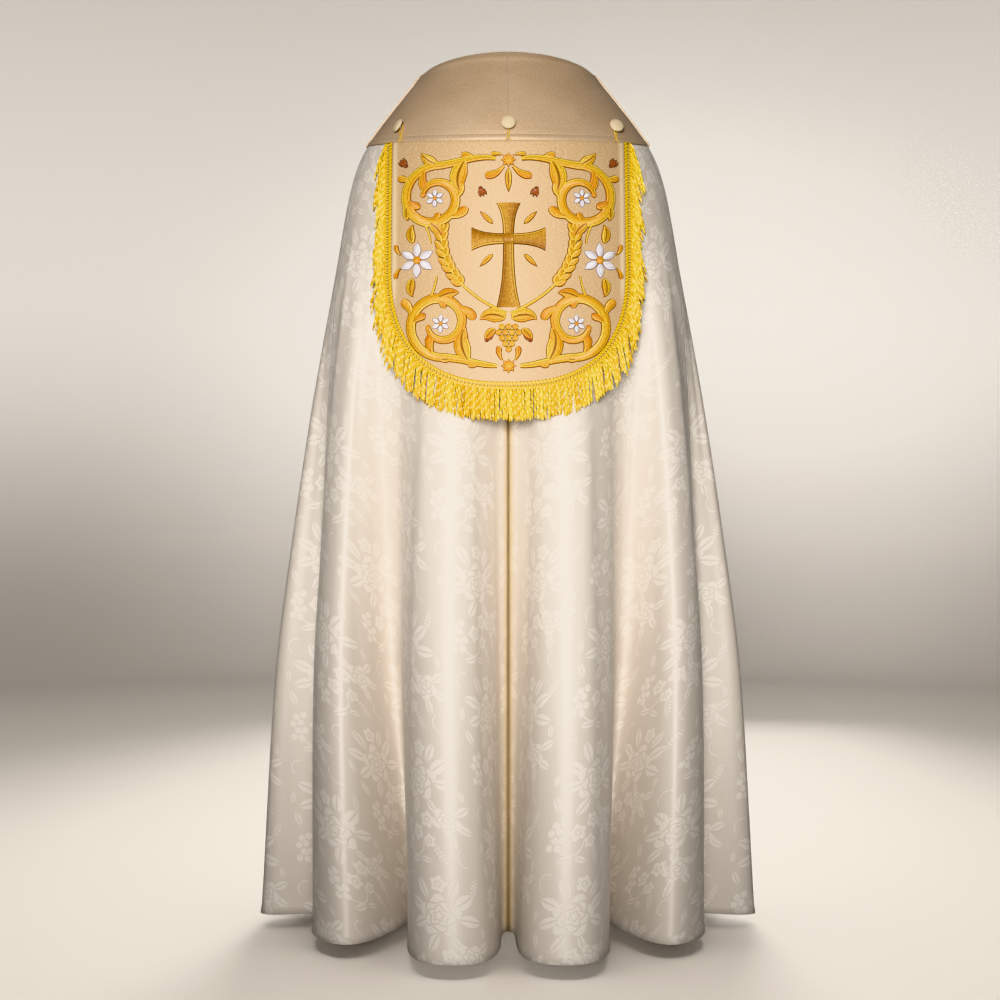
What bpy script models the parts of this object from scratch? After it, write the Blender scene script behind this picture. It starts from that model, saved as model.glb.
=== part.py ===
"""Cope: a full-length church cloak, open in front, built from its cut and sewn pieces.

Metres, +Z up. The origin is the middle of the neck opening, level with the tops of the shoulders.
The back of the cloak faces -Y, its open front faces +Y, and the wearer's right side is +X.

Every piece of cloth follows one surface. Its level sections are plain rings at the shoulders, which
pass into deep hanging folds at the hem. A place on the cloth is a ring angle, counted in degrees
from the middle of the back, and a height.
"""

import math
from collections import namedtuple

import bmesh
import bpy
from mathutils import Matrix, Vector

# Heights of the cloak
HEM_HEIGHT = -1.410
NECK_BACK_HEIGHT = 0.024
NECK_FRONT_HEIGHT = -0.132
YOKE_BACK_HEIGHT = -0.135
YOKE_SIDE_HEIGHT = -0.118
YOKE_FRONT_DROP = 0.215
NECK_FRONT_CURVE = 1.7

# Cut of the gold band that runs round the neck and down both fronts
BAND_WIDTH = 0.152
SHOULDER_ANGLE = 86.0
SHOULDER_SEAM_TURN = 0.05
FRONT_ANGLE = 176.0

# Seam between the back and side panels, at the bottom of the second fold valley
PANEL_SEAM_ANGLE = 74.0
PANEL_SEAM_TURN = 0.045

# Thickness of the cloth, each face measured outwards from the cloak's surface
MANTLE_OUT = 0.0
MANTLE_IN = -0.0020
BAND_OUT = 0.0012
BAND_IN = -0.0018
SEAM_GAP = 0.0003

# Shield, the hood-shaped panel on the back. Its top edge lies just under the gold band's lower edge,
# and rises with it towards the corners.
SHIELD_HALF_WIDTH = 0.195
SHIELD_TOP = -0.1362
SHIELD_TOP_RISE = 0.0063
SHIELD_SHOULDER = -0.327
SHIELD_BOTTOM = -0.5335
SHIELD_ROUNDNESS = 2.55
SHIELD_COLUMNS = 26
SHIELD_ROWS = 13
SHIELD_IN = 0.0022
SHIELD_OUT = 0.0042

# Gimp and bullion fringe round the shield. A strand leans out by a share of its length. The two
# turns, in radians from one strand to the next, vary the strands' sway and length along the row.
GIMP_WIDTH = 0.0125
GIMP_IN = SHIELD_OUT + SEAM_GAP
GIMP_OUT = GIMP_IN + 0.0019
GIMP_OVERHANG = 0.003
STRAND_LENGTH = 0.0495
STRAND_WIDTH = 0.0032
STRAND_TIP_SHARE = 0.8
STRAND_UNEVENNESS = 0.05
STRAND_PITCH_BELOW = 0.0066
STRAND_PITCH_BESIDE = 0.0090
STRAND_LEAN = 0.36
STRAND_SWAY = 0.06
STRAND_SWAY_BESIDE = 0.15
STRAND_SWAY_TURN = 2.4
STRAND_LENGTH_TURN = 1.7
OUTLINE_STEPS = 240

# Padded embroidery on the shield: a plain cross between four scrolling stems and six flowers
CROSS_CENTRE = -0.296
CROSS_ARM = 0.058
CROSS_FOOT = 0.110
CROSS_HALF_WIDTH = 0.0088
CROSS_SPLAY = 0.0105
CROSS_ARM_STEPS = 4
CROSS_FOOT_STEPS = 6
STITCH_IN = SHIELD_OUT + 0.0005
CROSS_OUT = STITCH_IN + 0.0016
STEM_OUT = STITCH_IN + 0.0022
STEM_HALF_WIDTH = 0.0062
STEM_TIP_SHARE = 0.4
STEM_STATIONS = 28
STEM_LEAD_STATIONS = 7
SPIRAL_CLOSING = 0.62
PETAL_OUT = STITCH_IN + 0.0018
PETAL_NOTCH = 0.30
PETAL_SHOULDER = 0.78
PETAL_RIDGE = 0.58

# Covered buttons and the cord loops that hang the shield from them
BUTTON_SPREAD = 0.174
BUTTON_MIDDLE_HEIGHT = -0.107
BUTTON_SIDE_HEIGHT = -0.103
BUTTON_TILT = 20.0
BUTTON_RADIUS = 0.0120
BUTTON_DOME = 0.0050
BUTTON_RIM = 0.0016
BUTTON_BACK_SHARE = 0.86
BUTTON_SIDES = 14
BUTTON_DOME_STEPS = 5
SHANK_RADIUS = 0.0026
SHANK_LENGTH = 0.0045
LOOP_CORD_RADIUS = 0.0010
LOOP_SLACK = 0.0010
LOOP_KNEE_SHARE = 0.62
LOOP_FOOT_SPREAD = 0.0045
LOOP_FOOT_LIFT = SEAM_GAP + 0.6 * LOOP_CORD_RADIUS
LOOP_KNEE_SPREAD = 1.6 * LOOP_CORD_RADIUS
LOOP_BENDS = 8

# Morse, the plain strap that closes the fronts over the chest
MORSE_TOP = -0.205
MORSE_BOTTOM = -0.275
MORSE_REACH = 0.085
MORSE_IN = BAND_OUT + 0.0005
MORSE_OUT = MORSE_IN + 0.0022
MORSE_ROWS = 4
MORSE_HALF_COLUMNS = 6

# Fineness of the solids. Rows of cloth are crowded towards the shoulders, and the steps are those
# at which directions and lengths are measured on the surface, in degrees round it or in metres.
FOLD_COLUMNS = 6
MANTLE_ROWS = 12
YOKE_ROWS = 6
BAND_COLUMNS = 6
ROW_CROWDING = 1.25
NORMAL_TURN = 0.25
NORMAL_RISE = 0.004
WALK_TURN = 0.5
CORNER_GUESS = 125.0
CORNER_ROUNDS = 30
SHARP_EDGE_ANGLE = 40.0
MERGE_DISTANCE = 0.00001

Ring = namedtuple("Ring", "height half_width back front")
RINGS = (
    Ring(0.030, 0.113, 0.098, 0.090),
    Ring(0.000, 0.144, 0.118, 0.100),
    Ring(-0.050, 0.185, 0.150, 0.112),
    Ring(-0.100, 0.223, 0.176, 0.126),
    Ring(-0.140, 0.248, 0.190, 0.138),
    Ring(-0.200, 0.267, 0.203, 0.156),
    Ring(-0.340, 0.292, 0.226, 0.188),
    Ring(-0.540, 0.328, 0.258, 0.226),
    Ring(-0.750, 0.360, 0.290, 0.262),
    Ring(-1.000, 0.392, 0.328, 0.302),
    Ring(-1.410, 0.417, 0.388, 0.360),
)

# Crests and valleys of the folds at the hem of the right half. The cloth at ring_angle hangs to the
# point (x, y) of the hem and runs there in the direction heading; fullness is how widely it turns.
Turn = namedtuple("Turn", "name ring_angle x y heading fullness starts_at")
TURNS = (
    Turn("middle_back_valley", 0.0, 0.000, -0.155, 0.0, 0.100, -0.130),
    Turn("first_crest", 20.0, 0.091, -0.380, 4.0, 0.345, -0.130),
    Turn("first_valley", 45.0, 0.152, -0.055, 42.0, 0.060, -0.300),
    Turn("second_crest", 60.0, 0.284, -0.226, 50.0, 0.330, -0.300),
    Turn("second_valley", 74.0, 0.300, -0.006, 75.0, 0.060, -0.380),
    Turn("side_crest", 86.0, 0.417, 0.004, 90.0, 0.180, -0.380),
    Turn("third_valley", 97.0, 0.275, 0.092, 112.0, 0.060, -0.340),
    Turn("third_crest", 108.0, 0.342, 0.236, 132.0, 0.260, -0.300),
    Turn("fourth_valley", 117.0, 0.182, 0.150, 150.0, 0.060, -0.260),
    Turn("front_crest", 127.0, 0.196, 0.322, 166.0, 0.210, -0.200),
    Turn("front_edge", FRONT_ANGLE, 0.026, 0.362, 176.0, 0.150, -0.160),
)

# Each stem leaves a point near the middle of the shield and rolls up into a spiral.
Stem = namedtuple("Stem", "name start_x start_height heading centre_x centre_height radius turns spin")
STEMS = (
    Stem("upper", 0.020, -0.166, 14.0, 0.116, -0.228, 0.053, 1.20, -1.0),
    Stem("lower", 0.018, -0.499, 2.0, 0.106, -0.431, 0.054, 1.20, 1.0),
)

# Flowers beside the cross and in the heart of each spiral. The first petal points in direction turn.
Flower = namedtuple("Flower", "name x height reach petals turn")
FLOWERS = (
    Flower("flower_side", 0.144, -0.328, 0.026, 5, 90.0),
    Flower("flower_upper", 0.116, -0.228, 0.0125, 6, 90.0),
    Flower("flower_lower", 0.106, -0.431, 0.0125, 6, 90.0),
)

IVORY_DAMASK = ("ivory_damask", (0.80, 0.74, 0.65), 0.45, 0.0)
GOLD_LAME = ("gold_lame", (0.62, 0.45, 0.26), 0.42, 0.35)
SHIELD_LAME = ("shield_lame", (0.70, 0.52, 0.32), 0.45, 0.30)
GOLD_FRINGE = ("gold_fringe", (0.82, 0.57, 0.04), 0.38, 0.30)
COVERED_BUTTON = ("covered_button", (0.72, 0.60, 0.42), 0.50, 0.10)
GOLD_STITCH = ("gold_stitch", (0.80, 0.48, 0.06), 0.40, 0.40)
WHITE_STITCH = ("white_stitch", (0.85, 0.83, 0.82), 0.42, 0.10)
GOLD_CORD = ("gold_cord", (0.75, 0.50, 0.08), 0.35, 0.50)


def clear_scene():
    for item in list(bpy.data.objects):
        bpy.data.objects.remove(item, do_unlink=True)


def make_material(look):
    name, colour, roughness, metallic = look
    material = bpy.data.materials.get(name)
    if material is None:
        material = bpy.data.materials.new(name)
        material.use_nodes = True
        shader = material.node_tree.nodes["Principled BSDF"]
        shader.inputs["Base Color"].default_value = (*colour, 1.0)
        shader.inputs["Roughness"].default_value = roughness
        shader.inputs["Metallic"].default_value = metallic
    return material


def finish_piece(name, mesh, look):
    """Turn a bmesh into a named object, with its faces triangulated and pointing outwards."""
    bmesh.ops.triangulate(mesh, faces=mesh.faces[:])
    bmesh.ops.recalc_face_normals(mesh, faces=mesh.faces[:])
    data = bpy.data.meshes.new(name)
    mesh.to_mesh(data)
    mesh.free()
    data.shade_smooth()
    data.set_sharp_from_angle(angle=math.radians(SHARP_EDGE_ANGLE))
    data.materials.append(make_material(look))
    piece = bpy.data.objects.new(name, data)
    bpy.context.collection.objects.link(piece)
    return piece


# ---------------------------------------------------------------- the cloak's surface


def smooth_value(place, places, values):
    """Value at a place on the smooth curve through the given places and values, in rising order."""
    place = min(max(place, places[0]), places[-1])
    index = 0
    while index < len(places) - 2 and place > places[index + 1]:
        index += 1
    slopes = []
    for near in (index, index + 1):
        before = max(near - 1, 0)
        after = min(near + 1, len(places) - 1)
        slopes.append((values[after] - values[before]) / (places[after] - places[before]))
    span = places[index + 1] - places[index]
    share = (place - places[index]) / span
    return blend_ends(share, values[index], slopes[0] * span, values[index + 1], slopes[1] * span)


def blend_ends(share, start, start_pull, end, end_pull):
    """Cubic curve from start to end that leaves and arrives with the given pulls."""
    square = share * share
    cube = square * share
    return (
        start * (2 * cube - 3 * square + 1)
        + start_pull * (cube - 2 * square + share)
        + end * (3 * square - 2 * cube)
        + end_pull * (cube - square)
    )


RISING = RINGS[::-1]
RING_HEIGHTS = [ring.height for ring in RISING]
RING_COLUMNS = {
    column: [getattr(ring, column) for ring in RISING] for column in ("half_width", "back", "front")
}


def ring_size(height, column):
    return smooth_value(height, RING_HEIGHTS, RING_COLUMNS[column])


def ring_point(angle, height):
    """Point of the plain ring, without folds, at a height."""
    turn = math.radians(angle)
    depth = ring_size(height, "back" if math.cos(turn) > 0 else "front")
    return Vector((ring_size(height, "half_width") * math.sin(turn), -depth * math.cos(turn), height))


def hem_point(angle):
    """Point of the folded hem below a ring angle, and the height at which its fold starts."""
    index = 0
    while index < len(TURNS) - 2 and angle > TURNS[index + 1].ring_angle:
        index += 1
    first, last = TURNS[index], TURNS[index + 1]
    share = (angle - first.ring_angle) / (last.ring_angle - first.ring_angle)
    place = []
    for axis, direction in (("x", math.cos), ("y", math.sin)):
        pull = [direction(math.radians(turn.heading)) * turn.fullness for turn in (first, last)]
        place.append(blend_ends(share, getattr(first, axis), pull[0], getattr(last, axis), pull[1]))
    starts_at = first.starts_at + (last.starts_at - first.starts_at) * share
    return Vector((place[0], place[1], HEM_HEIGHT)), starts_at


def cloak_point(angle, height):
    """Point of the cloak's surface. A negative angle is on the wearer's left."""
    side = -1.0 if angle < 0 else 1.0
    angle = abs(angle)
    hem, starts_at = hem_point(angle)
    growth = max(0.0, (starts_at - height) / (starts_at - HEM_HEIGHT))
    fold = hem - ring_point(angle, HEM_HEIGHT)
    point = ring_point(angle, height) + fold * growth
    point.x *= side
    point.z = height
    return point


def cloak_normal(angle, height):
    """Direction square to the cloak's surface, pointing away from the wearer."""
    turns = (-NORMAL_TURN, NORMAL_TURN)
    ends = [cloak_point(min(angle + turn, FRONT_ANGLE), height) for turn in turns]
    low = max(height - NORMAL_RISE, HEM_HEIGHT)
    upward = cloak_point(angle, low + 2 * NORMAL_RISE) - cloak_point(angle, low)
    return (ends[1] - ends[0]).cross(upward).normalized()


def cloth_place(angle, height, out, side):
    """Point at a distance out from the surface, on the right half or mirrored to the left."""
    point = cloak_point(angle, height) + cloak_normal(angle, height) * out
    if angle == 0.0:
        point.x = SEAM_GAP / 2
    if height == HEM_HEIGHT:
        point.z = max(point.z, HEM_HEIGHT)
    return Vector((point.x * side, point.y, point.z))


def angle_from_front(height, distance):
    """Ring angle that lies a distance along the cloth from the front edge."""
    angle = FRONT_ANGLE
    here = cloak_point(angle, height)
    walked = 0.0
    while True:
        ahead = cloak_point(angle - WALK_TURN, height)
        length = (ahead - here).length
        if walked + length >= distance:
            return angle - WALK_TURN * (distance - walked) / length
        walked += length
        angle -= WALK_TURN
        here = ahead


def neck_height(angle):
    turn = math.cos(math.radians(angle))
    if turn >= 0:
        return NECK_BACK_HEIGHT * turn
    return NECK_FRONT_HEIGHT * (turn / math.cos(math.radians(FRONT_ANGLE))) ** NECK_FRONT_CURVE


def yoke_height(angle):
    """Height of the gold band's lower edge, from the middle back to where it turns down the front."""
    turn = math.cos(math.radians(angle))
    if turn >= 0:
        return YOKE_SIDE_HEIGHT + (YOKE_BACK_HEIGHT - YOKE_SIDE_HEIGHT) * turn
    return YOKE_SIDE_HEIGHT - YOKE_FRONT_DROP * turn * turn


def find_band_corner():
    """Ring angle at which the band's lower edge becomes its outer edge down the front."""
    angle = CORNER_GUESS
    for _ in range(CORNER_ROUNDS):
        angle = (angle + angle_from_front(yoke_height(angle), BAND_WIDTH)) / 2
    return angle


# ---------------------------------------------------------------- walls of cloth


def cloth_wall(name, places, inside, outside, look, side):
    """Closed wall through a grid of places, each an (angle, height) pair.

    Both faces are worked out from the same grid, so the wall keeps its thickness round every fold.
    """
    rows = len(places)
    columns = len(places[0])
    faces = {}
    for layer, out in (("inner", inside), ("outer", outside)):
        faces[layer] = [[cloth_place(a, h, out, side) for a, h in row] for row in places]
    return wall_between(name, faces["inner"], faces["outer"], rows, columns, look)


def wall_between(name, inner, outer, rows, columns, look):
    """Closed wall between two grids of points of the same size."""
    mesh = bmesh.new()
    bmesh.ops.create_grid(mesh, x_segments=columns - 1, y_segments=rows - 1, size=1.0)
    bmesh.ops.triangulate(mesh, faces=mesh.faces[:])
    number = mesh.verts.layers.int.new("number")
    order = sorted(mesh.verts, key=lambda v: (round(v.co.y, 4), round(v.co.x, 4)))
    for index, vert in enumerate(order):
        vert[number] = index
    sheet = mesh.faces[:]
    made = bmesh.ops.extrude_face_region(mesh, geom=sheet, use_keep_orig=True)
    raised = {item for item in made["geom"] if isinstance(item, bmesh.types.BMVert)}
    for vert in mesh.verts:
        row, column = divmod(vert[number], columns)
        vert.co = outer[row][column] if vert in raised else inner[row][column]
    return finish_piece(name, mesh, look)


def fold_angles():
    """Ring angles of the columns of the cloth, evenly shared between each crest and valley."""
    angles = []
    for first, last in zip(TURNS[:-2], TURNS[1:-1]):
        for index in range(FOLD_COLUMNS):
            angles.append(first.ring_angle + (last.ring_angle - first.ring_angle) * index / FOLD_COLUMNS)
    return angles


def down_shares():
    """Shares of the way from the seam to the hem, closer together near the shoulders."""
    return [(row / MANTLE_ROWS) ** ROW_CROWDING for row in range(MANTLE_ROWS + 1)]


def mix(first, last, share):
    return first + (last - first) * share


def make_mantle(side_name, side, corner):
    """Two ivory panels of one half: from the middle back seam to a seam hidden in a deep fold
    valley, and from there to the seam of the front band."""
    last_turn = TURNS[-3].ring_angle
    fixed = [angle for angle in fold_angles() if angle <= last_turn]
    seam = fixed.index(PANEL_SEAM_ANGLE)
    half_gap = SEAM_GAP / 2
    free = [(index + 1) / FOLD_COLUMNS for index in range(FOLD_COLUMNS)]
    back_angles = fixed[:seam] + [PANEL_SEAM_ANGLE - PANEL_SEAM_TURN]
    side_angles = [PANEL_SEAM_ANGLE + PANEL_SEAM_TURN] + fixed[seam + 1 :]
    back_places = []
    side_places = []
    for share in down_shares():
        back_places.append([(a, mix(yoke_height(a) - half_gap, HEM_HEIGHT, share)) for a in back_angles])
        row = [(a, mix(yoke_height(a) - half_gap, HEM_HEIGHT, share)) for a in side_angles]
        edge_height = mix(yoke_height(corner) - half_gap, HEM_HEIGHT, share)
        edge = angle_from_front(edge_height, BAND_WIDTH + half_gap)
        for part in free:
            top = mix(last_turn, corner, part)
            height = mix(yoke_height(top) - half_gap, HEM_HEIGHT, share)
            row.append((mix(last_turn, edge, part), height))
        side_places.append(row)
    for panel, places in (("back", back_places), ("side", side_places)):
        cloth_wall("mantle_" + panel + "_" + side_name, places, MANTLE_IN, MANTLE_OUT, IVORY_DAMASK, side)


def make_yoke(side_name, side):
    """Gold band over the back of one shoulder, from the middle back seam to the shoulder seam."""
    half_gap = SEAM_GAP / 2
    angles = [angle for angle in fold_angles() if angle < SHOULDER_ANGLE]
    angles.append(SHOULDER_ANGLE - SHOULDER_SEAM_TURN)
    places = []
    for row in range(YOKE_ROWS + 1):
        share = row / YOKE_ROWS
        places.append([(a, mix(neck_height(a), yoke_height(a) + half_gap, share)) for a in angles])
    cloth_wall("yoke_" + side_name, places, BAND_IN, BAND_OUT, GOLD_LAME, side)


def make_front_band(side_name, side, corner):
    """Gold orphrey from the shoulder seam, round the side of the neck and down to the hem."""
    half_gap = SEAM_GAP / 2
    last_turn = TURNS[-3].ring_angle
    over = [angle for angle in fold_angles() if SHOULDER_ANGLE < angle <= last_turn]
    over += [mix(last_turn, corner, (index + 1) / FOLD_COLUMNS) for index in range(FOLD_COLUMNS - 1)]
    start = SHOULDER_ANGLE + SHOULDER_SEAM_TURN
    places = []
    for outer_angle in [start] + over:
        share = (outer_angle - start) / (corner - start)
        inner_angle = mix(start, FRONT_ANGLE, share)
        inner = (inner_angle, neck_height(inner_angle))
        outer = (outer_angle, yoke_height(outer_angle) + half_gap)
        places.append((inner, outer))
    for share in down_shares():
        inner = (FRONT_ANGLE, mix(neck_height(FRONT_ANGLE), HEM_HEIGHT, share))
        height = mix(yoke_height(corner) - half_gap, HEM_HEIGHT, share)
        outer = (angle_from_front(height, BAND_WIDTH - half_gap), height)
        places.append((inner, outer))
    shares = [column / BAND_COLUMNS for column in range(BAND_COLUMNS + 1)]
    grid = [[(mix(i[0], o[0], s), mix(i[1], o[1], s)) for s in shares] for i, o in places]
    cloth_wall("orphrey_" + side_name, grid, BAND_IN, BAND_OUT, GOLD_LAME, side)


def make_morse():
    """Plain strap over the gap between the fronts, lying on both gold bands."""
    grids = {"inner": [], "outer": []}
    for row in range(MORSE_ROWS + 1):
        height = mix(MORSE_TOP, MORSE_BOTTOM, row / MORSE_ROWS)
        tail = angle_from_front(height, MORSE_REACH - cloak_point(FRONT_ANGLE, height).x)
        for layer, out in (("inner", MORSE_IN), ("outer", MORSE_OUT)):
            half = []
            for column in range(MORSE_HALF_COLUMNS + 1):
                angle = mix(tail, FRONT_ANGLE, column / MORSE_HALF_COLUMNS)
                half.append(cloth_place(angle, height, out, 1))
            mirrored = [Vector((-point.x, point.y, point.z)) for point in reversed(half)]
            grids[layer].append(half + mirrored)
    columns = 2 * MORSE_HALF_COLUMNS + 2
    wall_between("morse", grids["inner"], grids["outer"], MORSE_ROWS + 1, columns, GOLD_LAME)


# ---------------------------------------------------------------- shield and fringe


def back_point(x, height, out):
    """Point a distance out from the smooth back of the cloak, which the shield bridges over."""
    half_width = ring_size(height, "half_width")
    depth = ring_size(height, "back")
    across = x / half_width
    flat = math.sqrt(max(1.0 - across**2, 0.0))
    flare = {}
    for column in ("half_width", "back"):
        below, above = (ring_size(height + step, column) for step in (-NORMAL_RISE, NORMAL_RISE))
        flare[column] = (below - above) / (2 * NORMAL_RISE)
    lift = flare["half_width"] * across**2 / half_width + flare["back"] * flat**2 / depth
    square = Vector((across / half_width, -flat / depth, lift)).normalized()
    return Vector((x, -depth * flat, height)) + square * out


def shield_top_height(x):
    """Height of the shield's top edge at a distance from its middle."""
    return SHIELD_TOP + SHIELD_TOP_RISE * (x / SHIELD_HALF_WIDTH) ** 2


def shield_edge_height(x):
    """Height of the shield's rounded lower edge at a distance from its middle."""
    share = min(abs(x) / SHIELD_HALF_WIDTH, 1.0)
    rise = (1.0 - share**SHIELD_ROUNDNESS) ** (1.0 / SHIELD_ROUNDNESS)
    return SHIELD_SHOULDER + (SHIELD_BOTTOM - SHIELD_SHOULDER) * rise


def make_shield():
    grids = {"inner": [], "outer": []}
    for layer, out in (("inner", SHIELD_IN), ("outer", SHIELD_OUT)):
        for row in range(SHIELD_ROWS + 1):
            line = []
            for column in range(SHIELD_COLUMNS + 1):
                x = SHIELD_HALF_WIDTH * math.sin(math.radians(mix(-90.0, 90.0, column / SHIELD_COLUMNS)))
                height = mix(shield_top_height(x), shield_edge_height(x), row / SHIELD_ROWS)
                line.append(back_point(x, height, out))
            grids[layer].append(line)
    wall_between(
        "shield", grids["inner"], grids["outer"], SHIELD_ROWS + 1, SHIELD_COLUMNS + 1, SHIELD_LAME
    )


def outline_points():
    """Dense (x, height) points down the shield's left side, round its bottom and up its right."""
    top = shield_top_height(SHIELD_HALF_WIDTH)
    points = [(-SHIELD_HALF_WIDTH, top)]
    for step in range(OUTLINE_STEPS + 1):
        x = SHIELD_HALF_WIDTH * math.sin(math.radians(mix(-90.0, 90.0, step / OUTLINE_STEPS)))
        points.append((x, shield_edge_height(x)))
    points.append((SHIELD_HALF_WIDTH, top))
    return [Vector(point) for point in points]


def place_on_outline(points, distance):
    """Point of the outline at a distance along it, and the direction square to it, outwards."""
    for first, last in zip(points, points[1:]):
        length = (last - first).length
        if distance <= length or last is points[-1]:
            run = (last - first).normalized()
            return first + run * min(distance, length), Vector((run.y, -run.x))
        distance -= length
    return None


def strand_roots(points):
    """Distances along the outline at which strands grow, wider apart where they hang sideways."""
    total = sum((last - first).length for first, last in zip(points, points[1:]))
    roots = []
    distance = STRAND_PITCH_BESIDE
    while distance < total - STRAND_PITCH_BESIDE:
        roots.append(distance)
        outward = place_on_outline(points, distance)[1]
        distance += mix(STRAND_PITCH_BESIDE, STRAND_PITCH_BELOW, abs(outward.y))
    return roots, total


def make_fringe():
    """Gimp strip on the shield's edge, with strands drawn out of the strip's outer side."""
    points = outline_points()
    roots, total = strand_roots(points)
    stations = [0.0]
    for root in roots:
        stations += [root - STRAND_WIDTH / 2, root + STRAND_WIDTH / 2]
    stations.append(total)
    mesh = bmesh.new()
    sections = []
    for station in stations:
        point, outward = place_on_outline(points, station)
        section = []
        for reach, out in (
            (GIMP_OVERHANG, GIMP_IN),
            (GIMP_OVERHANG, GIMP_OUT),
            (GIMP_OVERHANG - GIMP_WIDTH, GIMP_OUT),
            (GIMP_OVERHANG - GIMP_WIDTH, GIMP_IN),
        ):
            place = point + outward * reach
            section.append(mesh.verts.new(back_point(place.x, place.y, out)))
        sections.append(section)
    roots_faces = []
    for index, (near, far) in enumerate(zip(sections, sections[1:])):
        for corner in range(4):
            after = (corner + 1) % 4
            face = mesh.faces.new((near[corner], near[after], far[after], far[corner]))
            if corner == 0 and index % 2 == 1:
                roots_faces.append((face, roots[index // 2]))
    mesh.faces.new(sections[0][::-1])
    mesh.faces.new(sections[-1])
    for count, (face, root) in enumerate(roots_faces):
        draw_strand(mesh, face, points, root, count)
    return finish_piece("shield_fringe", mesh, GOLD_FRINGE)


def draw_strand(mesh, face, points, root, count):
    """Draw one strand down and outwards from its root face, following the back of the cloak."""
    point, outward = place_on_outline(points, root)
    sway = STRAND_SWAY * math.sin(count * STRAND_SWAY_TURN) * mix(STRAND_SWAY_BESIDE, 1.0, abs(outward.y))
    lean = Vector((outward.x * STRAND_LEAN + sway, -1.0)).normalized()
    length = STRAND_LENGTH * (1.0 + STRAND_UNEVENNESS * math.sin(count * STRAND_LENGTH_TURN))
    made = bmesh.ops.extrude_discrete_faces(mesh, faces=[face])["faces"][0]
    middle = made.calc_center_median()
    tip = point + outward * GIMP_OVERHANG + lean * length
    centre = back_point(tip.x, tip.y, (GIMP_IN + GIMP_OUT) / 2)
    for vert in made.verts:
        vert.co = centre + (vert.co - middle) * STRAND_TIP_SHARE


# ---------------------------------------------------------------- padded embroidery


def make_cross():
    """Plain cross with splayed ends, grown outwards from its middle square."""
    flat = bmesh.new()
    near = CROSS_HALF_WIDTH
    corners = ((-near, -near), (near, -near), (near, near), (-near, near))
    square = [flat.verts.new((x, rise, 0.0)) for x, rise in corners]
    flat.faces.new(square)
    arms = (
        (0, 1, (0.0, -1.0), CROSS_FOOT, CROSS_FOOT_STEPS),
        (1, 2, (1.0, 0.0), CROSS_ARM, CROSS_ARM_STEPS),
        (2, 3, (0.0, 1.0), CROSS_ARM, CROSS_ARM_STEPS),
        (3, 0, (-1.0, 0.0), CROSS_ARM, CROSS_ARM_STEPS),
    )
    for first, last, (run_x, run_z), reach, steps in arms:
        pair = (square[first], square[last])
        for step in range(1, steps + 1):
            share = step / steps
            along = mix(near, reach, share)
            half = near + CROSS_SPLAY * share**3
            centre = Vector((run_x, run_z)) * along
            across = Vector((-run_z, run_x)) * half
            ends = (centre - across, centre + across)
            further = [flat.verts.new((end.x, end.y, 0.0)) for end in ends]
            flat.faces.new((pair[0], further[0], further[1], pair[1]))
            pair = further
    place = flat.verts.layers.float_vector.new("place")
    for vert in flat.verts:
        vert[place] = vert.co
    made = bmesh.ops.extrude_face_region(flat, geom=flat.faces[:], use_keep_orig=True)
    raised = {item for item in made["geom"] if isinstance(item, bmesh.types.BMVert)}
    for vert in flat.verts:
        x, rise, _ = vert[place]
        vert.co = back_point(x, CROSS_CENTRE + rise, CROSS_OUT if vert in raised else STITCH_IN)
    finish_piece("shield_cross", flat, GOLD_STITCH)


def stem_path(stem):
    """Points (x, height) and half widths of a stem: a lead-in curve, then a closing spiral."""
    centre = Vector((stem.centre_x, stem.centre_height))
    start = Vector((stem.start_x, stem.start_height))
    top = -stem.spin * 90.0
    lead = STEM_LEAD_STATIONS
    join = centre + Vector((math.cos(math.radians(top)), math.sin(math.radians(top)))) * stem.radius
    heading = math.radians(stem.heading)
    leave = Vector((math.cos(heading), math.sin(heading))) * (join - start).length
    arrive = Vector((1.0, 0.0)) * (join - start).length
    points = [blend_ends(step / lead, start, leave, join, arrive) for step in range(lead)]
    for step in range(STEM_STATIONS - lead + 1):
        share = step / (STEM_STATIONS - lead)
        turn = math.radians(top + stem.spin * 360.0 * stem.turns * share)
        reach = stem.radius * (1.0 - SPIRAL_CLOSING * share)
        points.append(centre + Vector((math.cos(turn), math.sin(turn))) * reach)
    widths = []
    for index in range(len(points)):
        swell = math.sin(math.pi * index / (len(points) - 1))
        widths.append(STEM_HALF_WIDTH * mix(STEM_TIP_SHARE, 1.0, math.sqrt(max(swell, 0.0))))
    return points, widths


def make_stem(stem, side_name, side):
    """Ridged band of satin stitch over padding, along one stem."""
    points, widths = stem_path(stem)
    mesh = bmesh.new()
    sections = []
    for index, (point, half) in enumerate(zip(points, widths)):
        run = points[min(index + 1, len(points) - 1)] - points[max(index - 1, 0)]
        across = Vector((-run.y, run.x)).normalized() * half
        section = []
        for place, out in ((point - across, STITCH_IN), (point, STEM_OUT), (point + across, STITCH_IN)):
            section.append(mesh.verts.new(back_point(place.x * side, place.y, out)))
        sections.append(section)
    for near, far in zip(sections, sections[1:]):
        for corner in range(3):
            after = (corner + 1) % 3
            mesh.faces.new((near[corner], near[after], far[after], far[corner]))
    mesh.faces.new(sections[0][::-1])
    mesh.faces.new(sections[-1])
    finish_piece("scroll_" + stem.name + "_" + side_name, mesh, GOLD_STITCH)


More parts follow.
